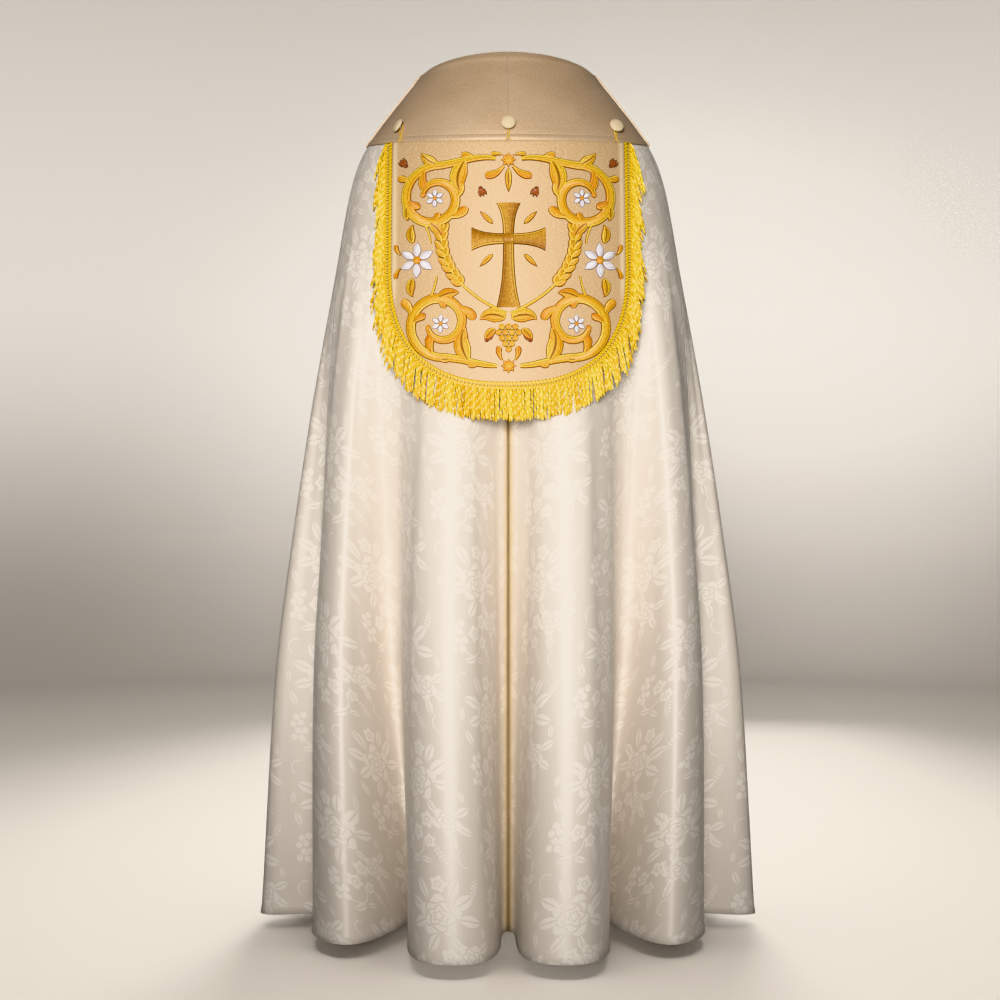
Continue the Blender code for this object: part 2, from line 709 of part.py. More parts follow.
def make_flower(flower, side_name, side):
    """Ring of pointed petals, each raised along its middle, sewn round one centre."""
    mesh = bmesh.new()

    def place(reach, turn, out):
        turn = math.radians(turn)
        x = (flower.x + reach * math.cos(turn)) * side
        return mesh.verts.new(back_point(x, flower.height + reach * math.sin(turn), out))

    span = 360.0 / flower.petals
    heart = place(0.0, 0.0, PETAL_OUT)
    back = place(0.0, 0.0, STITCH_IN)
    rim = []
    ridges = []
    for petal in range(flower.petals):
        tip = flower.turn + petal * span
        rim.append(place(flower.reach * PETAL_NOTCH, tip - span / 2, STITCH_IN))
        rim.append(place(flower.reach * PETAL_SHOULDER, tip - span / 4, STITCH_IN))
        rim.append(place(flower.reach, tip, STITCH_IN))
        rim.append(place(flower.reach * PETAL_SHOULDER, tip + span / 4, STITCH_IN))
        ridges.append(place(flower.reach * PETAL_RIDGE, tip, PETAL_OUT))
    for petal, ridge in enumerate(ridges):
        edge = [rim[(petal * 4 + step) % len(rim)] for step in range(5)]
        for near, far in zip(edge, edge[1:]):
            mesh.faces.new((ridge, near, far))
            mesh.faces.new((back, far, near))
        mesh.faces.new((heart, edge[0], ridge))
        mesh.faces.new((heart, ridge, edge[-1]))
    finish_piece(flower.name + "_" + side_name, mesh, WHITE_STITCH)


# ---------------------------------------------------------------- buttons and loops


def surface_frame(x, height):
    """Axes at a point of the back: out of the cloth, up along it, and across it."""
    out = (back_point(x, height, 1.0) - back_point(x, height, 0.0)).normalized()
    across = Vector((0.0, 0.0, 1.0)).cross(out).normalized()
    up = out.cross(across)
    return Matrix((across, up, out)).transposed()


def make_button(name, x, height, tilt):
    """Cloth-covered dome on a short shank, turned from one profile and tilted to one side."""
    rise = SHANK_LENGTH
    back_edge = BUTTON_RADIUS * BUTTON_BACK_SHARE
    profile = [(0.0, 0.0), (SHANK_RADIUS, 0.0), (SHANK_RADIUS, rise), (back_edge, rise)]
    for step in range(BUTTON_DOME_STEPS + 1):
        turn = math.radians(90.0 * step / BUTTON_DOME_STEPS)
        outer = BUTTON_RADIUS * math.cos(turn)
        profile.append((outer, rise + BUTTON_RIM + BUTTON_DOME * math.sin(turn)))
    mesh = bmesh.new()
    verts = [mesh.verts.new((radius, 0.0, lift)) for radius, lift in profile]
    edges = [mesh.edges.new(pair) for pair in zip(verts, verts[1:])]
    bmesh.ops.spin(
        mesh,
        geom=verts + edges,
        axis=(0.0, 0.0, 1.0),
        cent=(0.0, 0.0, 0.0),
        angle=math.tau,
        steps=BUTTON_SIDES,
        use_merge=True,
    )
    bmesh.ops.remove_doubles(mesh, verts=mesh.verts[:], dist=MERGE_DISTANCE)
    tilt = math.radians(tilt)
    seat = back_point(x, height, BAND_OUT + SEAM_GAP + SHANK_RADIUS * abs(math.sin(tilt)))
    stand = surface_frame(x, height).to_4x4() @ Matrix.Rotation(tilt, 4, "Y")
    bmesh.ops.transform(mesh, matrix=Matrix.Translation(seat) @ stand, verts=mesh.verts[:])
    finish_piece(name, mesh, COVERED_BUTTON)


def make_loop(name, x, height):
    """Cord loop from the shield's top edge, up one side of the shank, round it and down again."""
    cord = LOOP_CORD_RADIUS
    turn_radius = SHANK_RADIUS + LOOP_SLACK + cord
    frame = surface_frame(x, height)
    seat = back_point(x, height, 0.0)
    over = BAND_OUT + SEAM_GAP + cord
    path = []
    for step in range(LOOP_BENDS + 1):
        turn = math.radians(180.0 * step / LOOP_BENDS)
        path.append(seat + frame @ Vector((turn_radius * math.cos(turn), turn_radius * math.sin(turn), over)))
    legs = []
    for side in (1.0, -1.0):
        foot_x = x + side * LOOP_FOOT_SPREAD
        top = shield_top_height(foot_x)
        foot = back_point(foot_x, top + LOOP_FOOT_LIFT, (SHIELD_IN + SHIELD_OUT) / 2)
        knee = back_point(x + side * LOOP_KNEE_SPREAD, mix(height, top, LOOP_KNEE_SHARE), over)
        legs.append([foot, knee])
    path = legs[0] + path + legs[1][::-1]
    curve = bpy.data.curves.new(name + "_path", "CURVE")
    curve.dimensions = "3D"
    curve.bevel_depth = cord
    curve.bevel_resolution = 1
    curve.use_fill_caps = True
    spline = curve.splines.new("POLY")
    spline.points.add(len(path) - 1)
    for point, co in zip(spline.points, path):
        point.co = (*co, 1.0)
    curve.materials.append(make_material(GOLD_CORD))
    piece = bpy.data.objects.new(name, curve)
    bpy.context.collection.objects.link(piece)


def make_closures():
    for name, x, height, tilt in (
        ("left", -BUTTON_SPREAD, BUTTON_SIDE_HEIGHT, -BUTTON_TILT),
        ("middle", 0.0, BUTTON_MIDDLE_HEIGHT, 0.0),
        ("right", BUTTON_SPREAD, BUTTON_SIDE_HEIGHT, -BUTTON_TILT),
    ):
        make_button("button_" + name, x, height, tilt)
        make_loop("loop_" + name, x, height)


clear_scene()
band_corner = find_band_corner()
for half_name, half in (("left", -1.0), ("right", 1.0)):
    make_mantle(half_name, half, band_corner)
    make_yoke(half_name, half)
    make_front_band(half_name, half, band_corner)
make_morse()
make_shield()
make_fringe()
make_cross()
for half_name, half in (("left", -1.0), ("right", 1.0)):
    for scroll in STEMS:
        make_stem(scroll, half_name, half)
    for bloom in FLOWERS:
        make_flower(bloom, half_name, half)
make_closures()
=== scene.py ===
import functools
import math
import random
from collections import namedtuple

import bmesh
import bpy
import numpy as np
from mathutils import Matrix, Vector


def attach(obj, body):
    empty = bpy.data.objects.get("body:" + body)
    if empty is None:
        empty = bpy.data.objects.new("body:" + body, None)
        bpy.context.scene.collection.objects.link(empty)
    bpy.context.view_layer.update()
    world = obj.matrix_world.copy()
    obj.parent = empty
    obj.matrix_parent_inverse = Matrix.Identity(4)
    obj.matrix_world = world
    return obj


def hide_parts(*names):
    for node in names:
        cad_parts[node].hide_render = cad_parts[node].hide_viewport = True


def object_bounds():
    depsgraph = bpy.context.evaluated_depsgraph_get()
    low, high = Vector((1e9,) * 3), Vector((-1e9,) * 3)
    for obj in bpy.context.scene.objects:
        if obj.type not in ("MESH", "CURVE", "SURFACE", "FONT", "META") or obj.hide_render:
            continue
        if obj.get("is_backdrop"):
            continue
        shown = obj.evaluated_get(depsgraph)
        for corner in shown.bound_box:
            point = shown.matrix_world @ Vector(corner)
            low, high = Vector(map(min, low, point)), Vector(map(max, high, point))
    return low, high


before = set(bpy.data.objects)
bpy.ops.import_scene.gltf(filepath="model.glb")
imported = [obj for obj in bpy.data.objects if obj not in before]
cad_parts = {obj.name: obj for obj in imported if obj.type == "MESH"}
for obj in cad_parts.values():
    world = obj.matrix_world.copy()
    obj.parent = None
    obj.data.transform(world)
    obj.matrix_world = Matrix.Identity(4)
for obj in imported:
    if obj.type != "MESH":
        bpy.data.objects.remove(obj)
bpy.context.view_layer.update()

# ================================================================ tools


def linear(hex_colour):
    """Linear RGBA of an sRGB hex colour."""
    channels = [int(hex_colour[i : i + 2], 16) / 255 for i in (0, 2, 4)]
    return tuple(c / 12.92 if c <= 0.04045 else ((c + 0.055) / 1.055) ** 2.4 for c in channels) + (1.0,)


class Shader:
    """A new material, with a short call for each kind of node that its tree is built from."""

    def __init__(self, name):
        self.material = bpy.data.materials.new(name)
        self.material.use_nodes = True
        self.material.node_tree.nodes.clear()

    def add(self, kind, inputs=(), **settings):
        """Node with its settings; inputs are set, or linked from a node or one of its sockets."""
        tree = self.material.node_tree
        node = tree.nodes.new("ShaderNode" + kind)
        for name, value in settings.items():
            setattr(node, name, value)
        for place, value in inputs.items() if isinstance(inputs, dict) else enumerate(inputs):
            if isinstance(value, bpy.types.Node):
                value = value.outputs[0]
            if isinstance(value, bpy.types.NodeSocket):
                tree.links.new(value, node.inputs[place])
            else:
                node.inputs[place].default_value = value
        return node

    def math(self, operation, *inputs, **settings):
        return self.add("Math", inputs, operation=operation, **settings)

    def fold(self, operation, values):
        """One value of many, taken in turn with the operation."""
        return functools.reduce(functools.partial(self.math, operation), values)

    def ramp(self, value, low, high, to_low=0.0, to_high=1.0, smooth=False):
        """Value turned from the range low to high into the range to_low to to_high."""
        inputs = {"Value": value, "From Min": low, "From Max": high, "To Min": to_low, "To Max": to_high}
        return self.add("MapRange", inputs, interpolation_type="SMOOTHSTEP" if smooth else "LINEAR")

    def mix(self, share, *colours):
        """Blend of two colours, each a node or a hex colour."""
        colours = [linear(colour) if isinstance(colour, str) else colour for colour in colours]
        return self.add("MixRGB", (share, *colours))

    def place(self):
        """Place on the object, in metres."""
        return self.add("TexCoord").outputs["Object"]

    def cut(self):
        """Place on the flat cloth, in metres."""
        return self.add("UVMap", uv_map="cut")

    def cut_mm(self):
        """Place on the flat cloth, in millimetres."""
        return self.scale(self.cut(), 1000.0, 1000.0, 0.0)

    def attribute(self, name):
        return self.add("Attribute", attribute_name=name).outputs["Fac"]

    def parts(self, vector):
        """The x, y and z of a vector."""
        return self.add("SeparateXYZ", (vector,)).outputs

    def length(self, vector):
        return self.add("VectorMath", (vector,), operation="LENGTH").outputs["Value"]

    def scale(self, vector, *factors):
        return self.add("VectorMath", (vector, factors), operation="MULTIPLY")

    def noise(self, place, scale=1.0, detail=2.0):
        return self.add("TexNoise", {"Vector": place, "Scale": scale, "Detail": detail})

    def bump(self, height, strength, distance):
        return self.add("Bump", {"Strength": strength, "Distance": distance, "Height": height})

    def finish(self, inputs):
        """Close the material with one Principled shader that has the given inputs."""
        self.add("OutputMaterial", (self.add("BsdfPrincipled", inputs),))


def add_piece(name, mesh, shader, smooth_angle=60.0):
    """Turn a bmesh into an object at the origin, smooth but for edges sharper than the angle."""
    data = bpy.data.meshes.new(name)
    mesh.to_mesh(data)
    mesh.free()
    data.shade_smooth()
    data.set_sharp_from_angle(angle=math.radians(smooth_angle))
    data.materials.append(shader.material)
    piece = bpy.data.objects.new(name, data)
    bpy.context.scene.collection.objects.link(piece)
    return piece


def enter(piece, slot, *nodes):
    """Attach a piece to the root body and hide the nodes of the model that it stands for. Its slot is not
    used.
    """
    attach(piece, "root")
    if nodes:
        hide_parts(*nodes)


def paint(piece, name, values):
    """Give each point of a piece a value that its shader reads."""
    layer = piece.data.attributes.new(name, "FLOAT", "POINT")
    layer.data.foreach_set("value", values)


def spin_profile(profile, steps, merge_distance):
    """Mesh of a profile of places (reach, height) spun round the z axis."""
    mesh = bmesh.new()
    verts = [mesh.verts.new((reach, 0.0, height)) for reach, height in profile]
    edges = [mesh.edges.new(pair) for pair in zip(verts, verts[1:])]
    spin = {"cent": (0.0, 0.0, 0.0), "axis": (0.0, 0.0, 1.0), "angle": math.tau, "steps": steps}
    bmesh.ops.spin(mesh, geom=verts + edges, use_merge=True, **spin)
    bmesh.ops.remove_doubles(mesh, verts=mesh.verts[:], dist=merge_distance)
    return mesh


def unit(vectors):
    """Vectors of an array brought to length 1."""
    return vectors / np.linalg.norm(vectors, axis=-1, keepdims=True)


def lengths_along(points, axis=0):
    """Length walked along one axis of an array of points, from 0 at its start."""
    steps = np.linalg.norm(np.diff(points, axis=axis), axis=-1)
    start = np.zeros_like(np.take(steps, [0], axis=axis))
    return np.concatenate((start, np.cumsum(steps, axis=axis)), axis=axis)


def blend_ends(share, start, start_pull, end, end_pull):
    """Cubic curve from start to end that leaves and arrives with the given pulls."""
    square = share * share
    cube = square * share
    return (
        start * (2 * cube - 3 * square + 1)
        + start_pull * (cube - 2 * square + share)
        + end * (3 * square - 2 * cube)
        + end_pull * (cube - square)
    )


def soft_step(start, end, value):
    """Share from 0 at start to 1 at end, eased at both."""
    share = np.clip((value - start) / (end - start), 0.0, 1.0)
    return share * share * (3 - 2 * share)


SIDES = ((1, "right"), (-1, "left"))

# ================================================================ studio
# A plain pale sweep of paper all round and under the cope, lit by large soft boxes. The camera looks
# level at the back of the cope from 3.6 m, with a small shift that keeps the hem in view.

CAMERA_DISTANCE = 3.6
CAMERA_HEIGHT = -0.646
CAMERA_ASIDE = -0.0135
SENSOR_WIDTH = 36.0
LENS = 76.68
SHIFT_UP = -0.04
FLOOR_HEIGHT = -1.432
STAGE_RADIUS = 5.6
SWEEP_RADIUS = 1.5
SWEEP_STEPS = 16
STAGE_SIDES = 128
STAGE_TOP = 4.6
PAPER = "F0EAE2"
PAPER_GLOW = 0.62
PAPER_GLOW_HIGH = 0.3
GLOW_HIGH_FROM = 2.4
AIR = "FFF6EA"
AIR_STRENGTH = 0.11

bpy.context.scene.view_settings.view_transform = "Khronos PBR Neutral"

camera_data = bpy.data.cameras.new("camera")
camera_data.sensor_width = SENSOR_WIDTH
camera_data.lens = LENS
camera_data.shift_y = SHIFT_UP
camera = bpy.data.objects.new("camera", camera_data)
camera.location = (CAMERA_ASIDE, -CAMERA_DISTANCE, CAMERA_HEIGHT)
camera.rotation_euler = (math.radians(90.0), 0.0, 0.0)
bpy.context.scene.collection.objects.link(camera)
bpy.context.scene.camera = camera

# Seamless paper is matt and lit from behind as well, so that it glows evenly above the floor.
paper = Shader("matt_studio_paper")
paper_height = paper.parts(paper.place())[2]
glow_low = paper.ramp(paper_height, FLOOR_HEIGHT, FLOOR_HEIGHT + SWEEP_RADIUS, smooth=True)
glow_high = paper.ramp(paper_height, 0.0, GLOW_HIGH_FROM, PAPER_GLOW, PAPER_GLOW_HIGH, smooth=True)
paper.finish(
    {
        "Base Color": linear(PAPER),
        "Roughness": 0.9,
        "Specular IOR Level": 0.1,
        "Emission Color": linear(PAPER),
        "Emission Strength": paper.math("MULTIPLY", glow_low, glow_high),
    }
)
paper.material.cycles.emission_sampling = "NONE"

sweep_line = [(0.0, FLOOR_HEIGHT)]
for step in range(SWEEP_STEPS + 1):
    turn = math.radians(90.0 * step / SWEEP_STEPS)
    reach = STAGE_RADIUS - SWEEP_RADIUS + SWEEP_RADIUS * math.sin(turn)
    sweep_line.append((reach, FLOOR_HEIGHT + SWEEP_RADIUS * (1 - math.cos(turn))))
sweep_line.append((STAGE_RADIUS, STAGE_TOP))
studio_paper = add_piece("studio_paper", spin_profile(sweep_line, STAGE_SIDES, 0.001), paper)
studio_paper.visible_diffuse = False
studio_paper.visible_glossy = False
studio_paper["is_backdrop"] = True

SoftBox = namedtuple("SoftBox", "name place aim size spread power colour")
SOFT_BOXES = (
    SoftBox("high_box", (-0.3, -3.1, 0.20), (0.0, -0.1, -0.14), 1.0, 27.0, 3.6, "FFFCF8"),
    SoftBox("middle_box", (-0.25, -3.1, -0.30), (0.0, -0.2, -0.62), 1.0, 27.0, 2.45, "FFFCF8"),
    SoftBox("low_box", (0.05, -3.1, -0.75), (0.0, -0.3, -1.20), 1.0, 27.0, 2.15, "FFFCF8"),
    SoftBox("front_box", (0.3, 3.2, -0.3), (0.0, 0.0, -0.7), 1.6, 80.0, 20.0, "FFFBF6"),
    SoftBox("paper_box", (0.0, 0.2, 3.4), (0.0, 0.5, -1.4), 3.0, 180.0, 150.0, "FFFBF6"),
)
for box in SOFT_BOXES:
    light = bpy.data.lights.new(box.name, "AREA")
    light.energy = box.power
    light.size = box.size
    light.spread = math.radians(box.spread)
    light.color = linear(box.colour)[:3]
    lamp = bpy.data.objects.new(box.name, light)
    lamp.location = box.place
    aim = Vector(box.aim) - Vector(box.place)
    lamp.rotation_euler = aim.to_track_quat("-Z", "Y").to_euler()
    bpy.context.scene.collection.objects.link(lamp)

# Light linking keeps the light of the paper's own box off the cope, whose sides stay in shade.
lit_by_paper_box = bpy.data.collections.new("lit_by_paper_box")
lit_by_paper_box.objects.link(studio_paper)
bpy.data.objects["paper_box"].light_linking.receiver_collection = lit_by_paper_box

world = bpy.data.worlds.new("studio_air")
world.use_nodes = True
world.node_tree.nodes["Background"].inputs["Color"].default_value = linear(AIR)
world.node_tree.nodes["Background"].inputs["Strength"].default_value = AIR_STRENGTH
bpy.context.scene.world = world

# ================================================================ mantle
# The body of the cope: four panels of ivory silk damask, sewn at the middle back and in a deep fold
# at each side. They hang from the gold band in folds that open towards the hem, which is rolled.

HEM_HEIGHT = -1.410
SEAM_GAP = 0.0003
SEWN_GAP = 0.00002
BAND_WIDTH = 0.152
SHOULDER_ANGLE = 86.0
FRONT_ANGLE = 176.0
PANEL_SEAM_ANGLE = 74.0
PANEL_SEAM_TURN = 0.045
NECK_BACK_HEIGHT = 0.024
NECK_FRONT_HEIGHT = -0.132
YOKE_BACK_HEIGHT = -0.135
YOKE_SIDE_HEIGHT = -0.118
YOKE_FRONT_DROP = 0.215
MANTLE_THICKNESS = 0.0020
COLUMNS_BETWEEN_TURNS = 32
MANTLE_ROWS = 120
ROW_CROWDING = 1.25
CORNER_GUESS = 125.0
CORNER_ROUNDS = 30
HEM_ROLL = 0.0013
HEM_ROLL_WIDTH = 0.0042

Ring = namedtuple("Ring", "height half_width back front")
RINGS = (
    Ring(-1.410, 0.417, 0.388, 0.360),
    Ring(-1.000, 0.392, 0.328, 0.302),
    Ring(-0.750, 0.360, 0.290, 0.262),
    Ring(-0.540, 0.328, 0.258, 0.226),
    Ring(-0.340, 0.292, 0.226, 0.188),
    Ring(-0.200, 0.267, 0.203, 0.156),
    Ring(-0.140, 0.248, 0.190, 0.138),
    Ring(-0.100, 0.223, 0.176, 0.126),
    Ring(-0.050, 0.185, 0.150, 0.112),
    Ring(0.000, 0.144, 0.118, 0.100),
    Ring(0.030, 0.113, 0.098, 0.090),
)

# Crests and valleys at the hem of the right half: where the cloth at ring_angle hangs, which way it
# runs there, how widely it turns, and the height at which its fold starts.
Turn = namedtuple("Turn", "name ring_angle x y heading fullness starts_at")
TURNS = (
    Turn("middle_back_valley", 0.0, 0.000, -0.155, 0.0, 0.100, -0.130),
    Turn("first_crest", 20.0, 0.091, -0.380, 4.0, 0.345, -0.130),
    Turn("first_valley", 45.0, 0.152, -0.055, 42.0, 0.060, -0.300),
    Turn("second_crest", 60.0, 0.284, -0.226, 50.0, 0.330, -0.300),
    Turn("second_valley", 74.0, 0.300, -0.006, 75.0, 0.060, -0.380),
    Turn("side_crest", 86.0, 0.417, 0.004, 90.0, 0.180, -0.380),
    Turn("third_valley", 97.0, 0.275, 0.092, 112.0, 0.060, -0.340),
    Turn("third_crest", 108.0, 0.342, 0.236, 132.0, 0.260, -0.300),
    Turn("fourth_valley", 117.0, 0.182, 0.150, 150.0, 0.060, -0.260),
    Turn("front_crest", 127.0, 0.196, 0.322, 166.0, 0.210, -0.200),
    Turn("front_edge", FRONT_ANGLE, 0.026, 0.362, 176.0, 0.150, -0.160),
)

# Soft creases laid over the main folds, each a trough (depth below 0) or a ridge. The ring angle
# runs from angle_top to angle_low; half_width is in degrees, the rest in metres.
# The middle seam is drawn in as one more trough, sharp at its bottom.
CREASE_SOFTNESS = 0.55
SEAM_DEPTH = 0.0090
SEAM_WIDTH = 1.3
SEAM_TOP = -0.22
SEAM_FULL = -0.60
Crease = namedtuple("Crease", "side angle_top angle_low top low half_width depth")
CREASES = (
    Crease(1, 8.0, 9.5, -0.46, -1.50, 2.1, -0.0045),
    Crease(1, 14.5, 16.0, -0.52, -1.18, 1.8, 0.0030),
    Crease(1, 27.0, 25.5, -0.40, -1.50, 2.0, -0.0060),
    Crease(1, 33.0, 31.0, -0.30, -1.05, 2.4, 0.0040),
    Crease(1, 52.0, 53.5, -0.24, -1.20, 1.9, -0.0050),
    Crease(1, 63.5, 62.0, -0.22, -0.98, 2.2, 0.0045),
    Crease(1, 66.0, 66.5, -0.60, -1.50, 1.5, -0.0040),
    Crease(1, 81.0, 80.0, -0.28, -1.25, 1.8, -0.0045),
    Crease(1, 91.0, 92.0, -0.34, -1.50, 1.7, -0.0040),
    Crease(1, 103.0, 104.0, -0.30, -1.35, 1.8, -0.0050),
    Crease(1, 112.5, 111.5, -0.42, -1.20, 1.6, 0.0040),
    Crease(1, 122.0, 123.0, -0.46, -1.50, 1.7, -0.0045),
    Crease(-1, 6.5, 7.0, -0.50, -1.22, 2.0, 0.0035),
    Crease(-1, 12.0, 13.5, -0.44, -1.50, 1.9, -0.0050),
    Crease(-1, 25.0, 27.5, -0.42, -1.12, 2.2, 0.0045),
    Crease(-1, 30.0, 29.0, -0.56, -1.50, 1.8, -0.0050),
    Crease(-1, 38.0, 40.0, -0.26, -1.00, 2.6, -0.0050),
    Crease(-1, 55.0, 54.0, -0.20, -1.30, 1.8, -0.0050),
    Crease(-1, 64.5, 65.5, -0.20, -0.86, 2.2, 0.0050),
    Crease(-1, 68.0, 67.0, -0.52, -1.50, 1.4, -0.0040),
    Crease(-1, 79.0, 81.0, -0.30, -1.50, 1.8, -0.0045),
    Crease(-1, 89.5, 90.5, -0.28, -1.10, 2.0, 0.0040),
    Crease(-1, 102.0, 101.0, -0.38, -1.50, 1.6, -0.0045),
    Crease(-1, 111.0, 112.5, -0.30, -1.30, 1.8, -0.0050),
    Crease(-1, 123.5, 122.0, -0.52, -1.28, 1.8, 0.0040),
)

RING_HEIGHTS = np.array([ring.height for ring in RINGS])


def ring_size(height, column):
    """Smooth curve through one column of the rings, at an array of heights."""
    values = np.array([getattr(ring, column) for ring in RINGS])
    slopes = np.empty_like(values)
    slopes[1:-1] = (values[2:] - values[:-2]) / (RING_HEIGHTS[2:] - RING_HEIGHTS[:-2])
    slopes[0] = (values[1] - values[0]) / (RING_HEIGHTS[1] - RING_HEIGHTS[0])
    slopes[-1] = (values[-1] - values[-2]) / (RING_HEIGHTS[-1] - RING_HEIGHTS[-2])
    height = np.clip(height, RING_HEIGHTS[0], RING_HEIGHTS[-1])
    index = np.clip(np.searchsorted(RING_HEIGHTS, height) - 1, 0, len(RINGS) - 2)
    span = RING_HEIGHTS[index + 1] - RING_HEIGHTS[index]
    share = (height - RING_HEIGHTS[index]) / span
    ends = (values[index], slopes[index] * span, values[index + 1], slopes[index + 1] * span)
    return blend_ends(share, *ends)


def cloak_point(angle, height):
    """Points of the right half of the cloak's surface, for arrays of ring angles and heights."""
    turn = np.radians(angle)

    def ring_point(level):
        depth = np.where(np.cos(turn) > 0, ring_size(level, "back"), ring_size(level, "front"))
        return ring_size(level, "half_width") * np.sin(turn), -depth * np.cos(turn)

    table = np.array([[t.ring_angle, t.x, t.y, t.heading, t.fullness, t.starts_at] for t in TURNS])
    index = np.clip(np.searchsorted(table[:, 0], angle) - 1, 0, len(TURNS) - 2)
    first, last = table[index], table[index + 1]
    share = (angle - first[..., 0]) / (last[..., 0] - first[..., 0])
    starts_at = first[..., 5] + (last[..., 5] - first[..., 5]) * share
    growth = np.maximum(0.0, (starts_at - height) / (starts_at - HEM_HEIGHT))
    hem_ring = ring_point(np.full_like(angle, HEM_HEIGHT))
    ring = ring_point(height)
    point = []
    for axis, direction in ((0, np.cos), (1, np.sin)):
        pulls = [direction(np.radians(turn[..., 3])) * turn[..., 4] for turn in (first, last)]
        hem = blend_ends(share, first[..., 1 + axis], pulls[0], last[..., 1 + axis], pulls[1])
        point.append(ring[axis] + (hem - hem_ring[axis]) * growth)
    return np.stack((point[0], point[1], height), axis=-1)


def angle_from_front(height, distance):
    """Ring angles that lie a distance along the cloth from the front edge, at an array of heights."""
    angles = np.arange(FRONT_ANGLE, 90.0, -0.5)
    found = []
    for level in np.atleast_1d(height):
        walk = cloak_point(angles, np.full_like(angles, level))
        found.append(np.interp(distance, lengths_along(walk), angles))
    return np.array(found)


def yoke_height(angle):
    """Height of the gold band's lower edge at an array of ring angles."""
    turn = np.cos(np.radians(angle))
    behind = YOKE_SIDE_HEIGHT + (YOKE_BACK_HEIGHT - YOKE_SIDE_HEIGHT) * turn
    return np.where(turn >= 0, behind, YOKE_SIDE_HEIGHT - YOKE_FRONT_DROP * turn * turn)


def crease_depth(side, angle, height):
    """How far the soft creases lift the cloth at arrays of ring angles and heights."""
    lift = -SEAM_DEPTH * np.exp(-np.abs(angle) / SEAM_WIDTH) * soft_step(SEAM_TOP, SEAM_FULL, height)
    for crease in CREASES:
        if crease.side == side:
            share = np.clip((crease.top - height) / (crease.top - crease.low), 0.0, 1.0)
            middle = crease.angle_top + (crease.angle_low - crease.angle_top) * share
            across = np.exp(-(((angle - middle) / crease.half_width) ** 2))
            along = soft_step(0.0, 0.35, share) * (1.0 - soft_step(0.70, 1.0, share))
            lift += CREASE_SOFTNESS * crease.depth * across * along
    return lift


def grid_normals(points):
    """Directions square to a grid of points, outwards on the right half."""
    return unit(np.cross(np.gradient(points, axis=1), -np.gradient(points, axis=0)))


def flat_cut(points, middle_column=0):
    """Place of each point of the grid on the flat cloth, in metres from the top of one column."""
    across = lengths_along(points, 1)
    across = across - across[:, middle_column : middle_column + 1]
    return np.stack((across, -lengths_along(points, 0)), axis=-1)


def lay_cloth(name, points, cut, side, thickness, shader, rounding=0.0):
    """One piece of cloth through a grid of points on the right half, or mirrored to the left."""
    rows, columns = points.shape[:2]
    sheet = bmesh.new()
    bmesh.ops.create_grid(sheet, x_segments=columns - 1, y_segments=rows - 1, size=1.0)
    cut_layer = sheet.loops.layers.uv.new("cut")
    order = sorted(sheet.verts, key=lambda v: (round(v.co.y, 5), round(v.co.x, 5)))
    places = {vert: divmod(index, columns) for index, vert in enumerate(order)}
    for vert, place in places.items():
        x, y, z = points[place]
        vert.co = (x * side, y, z)
    for face in sheet.faces:
        for loop in face.loops:
            u, v = cut[places[loop.vert]]
            loop[cut_layer].uv = (u * side, v)
    if side > 0:
        bmesh.ops.reverse_faces(sheet, faces=sheet.faces[:])
    piece = add_piece(name, sheet, shader)
    wall = piece.modifiers.new("wall", "SOLIDIFY")
    wall.thickness = thickness
    wall.offset = -1.0
    if rounding:
        edge = piece.modifiers.new("rounding", "BEVEL")
        edge.width = rounding
        edge.segments = 2
        edge.limit_method = "ANGLE"
        edge.angle_limit = math.radians(60.0)
    return piece


# Damask: silk satin woven in one colour, its figure a matter of which threads lie on top. The ground
# shines and the figure is dull, so the bouquets read paler in shade and fade in the highlights.
GROUND = "DBD1C5"
GROUND_SHADE = "D3C8BB"
GROUND_LIGHT = "E2D9CE"
FIGURE = "F2EAE0"
# Painted shade along the middle seam: its colour, how far from the seam it reaches, and how strong it is.
PAINTED_VALLEY_SHADE = "BFA87C"
PAINTED_SHADE_REACH = 0.012
PAINTED_SHADE_DEPTH = 1.0
HALF_TONE = 0.42
HATCH_PITCH = 3.4
WARP_PITCH = 1.4
WAVE_LENGTH = 0.314  # of the wave texture at scale 1
GROUND_ROUGHNESS = 0.45
FIGURE_ROUGHNESS = 0.66
REPEAT_WIDE = 160.0
REPEAT_HIGH = 204.0
EDGE_SOFTNESS = 1.1
LEAF_SLIT = 0.09
PETAL_SLIT = 0.035
WHEAT_SLIT = 0.05

damask = Shader("silk_damask_ivory")


def cut_mask(field, size):
    """A motif's field in steps of a thread: above 1 inside it, and below 0 outside."""
    return damask.math("MULTIPLY", field, size / EDGE_SOFTNESS)


def motif_place(x, y, turn, half_length, half_width):
    """Cloth coordinates seen from a motif: from -1 to 1 along and across it."""
    inputs = {
        "Vector": repeat,
        "Location": (x, y, 0.0),
        "Rotation": (0.0, 0.0, math.radians(turn)),
        "Scale": (half_length, half_width, 1.0),
    }
    return damask.add("Mapping", inputs, vector_type="TEXTURE")


def inside_square(value):
    """1 less the square of a value."""
    return damask.math("SUBTRACT", 1.0, damask.math("MULTIPLY", value, value))


def trim(body, distance, least):
    """A body less the part where a distance is under the least."""
    return damask.math("MINIMUM", body, damask.math("SUBTRACT", distance, least))


def leaf(x, y, turn, half_length, half_width):
    """Pointed leaf, slit along its midrib."""
    along, aside, _ = damask.parts(motif_place(x, y, turn, half_length, half_width))
    across = damask.math("ABSOLUTE", aside)
    body = damask.math("SUBTRACT", inside_square(along), across)
    return cut_mask(trim(body, across, LEAF_SLIT), half_width)


def berries(radius, *places):
    """Bunch of round berries."""
    away = [damask.add("VectorMath", (repeat, (*place, 0.0)), operation="DISTANCE") for place in places]
    nearest = damask.fold("MINIMUM", [node.outputs["Value"] for node in away])
    return cut_mask(damask.math("MULTIPLY_ADD", nearest, -1 / radius, 1.0), radius)


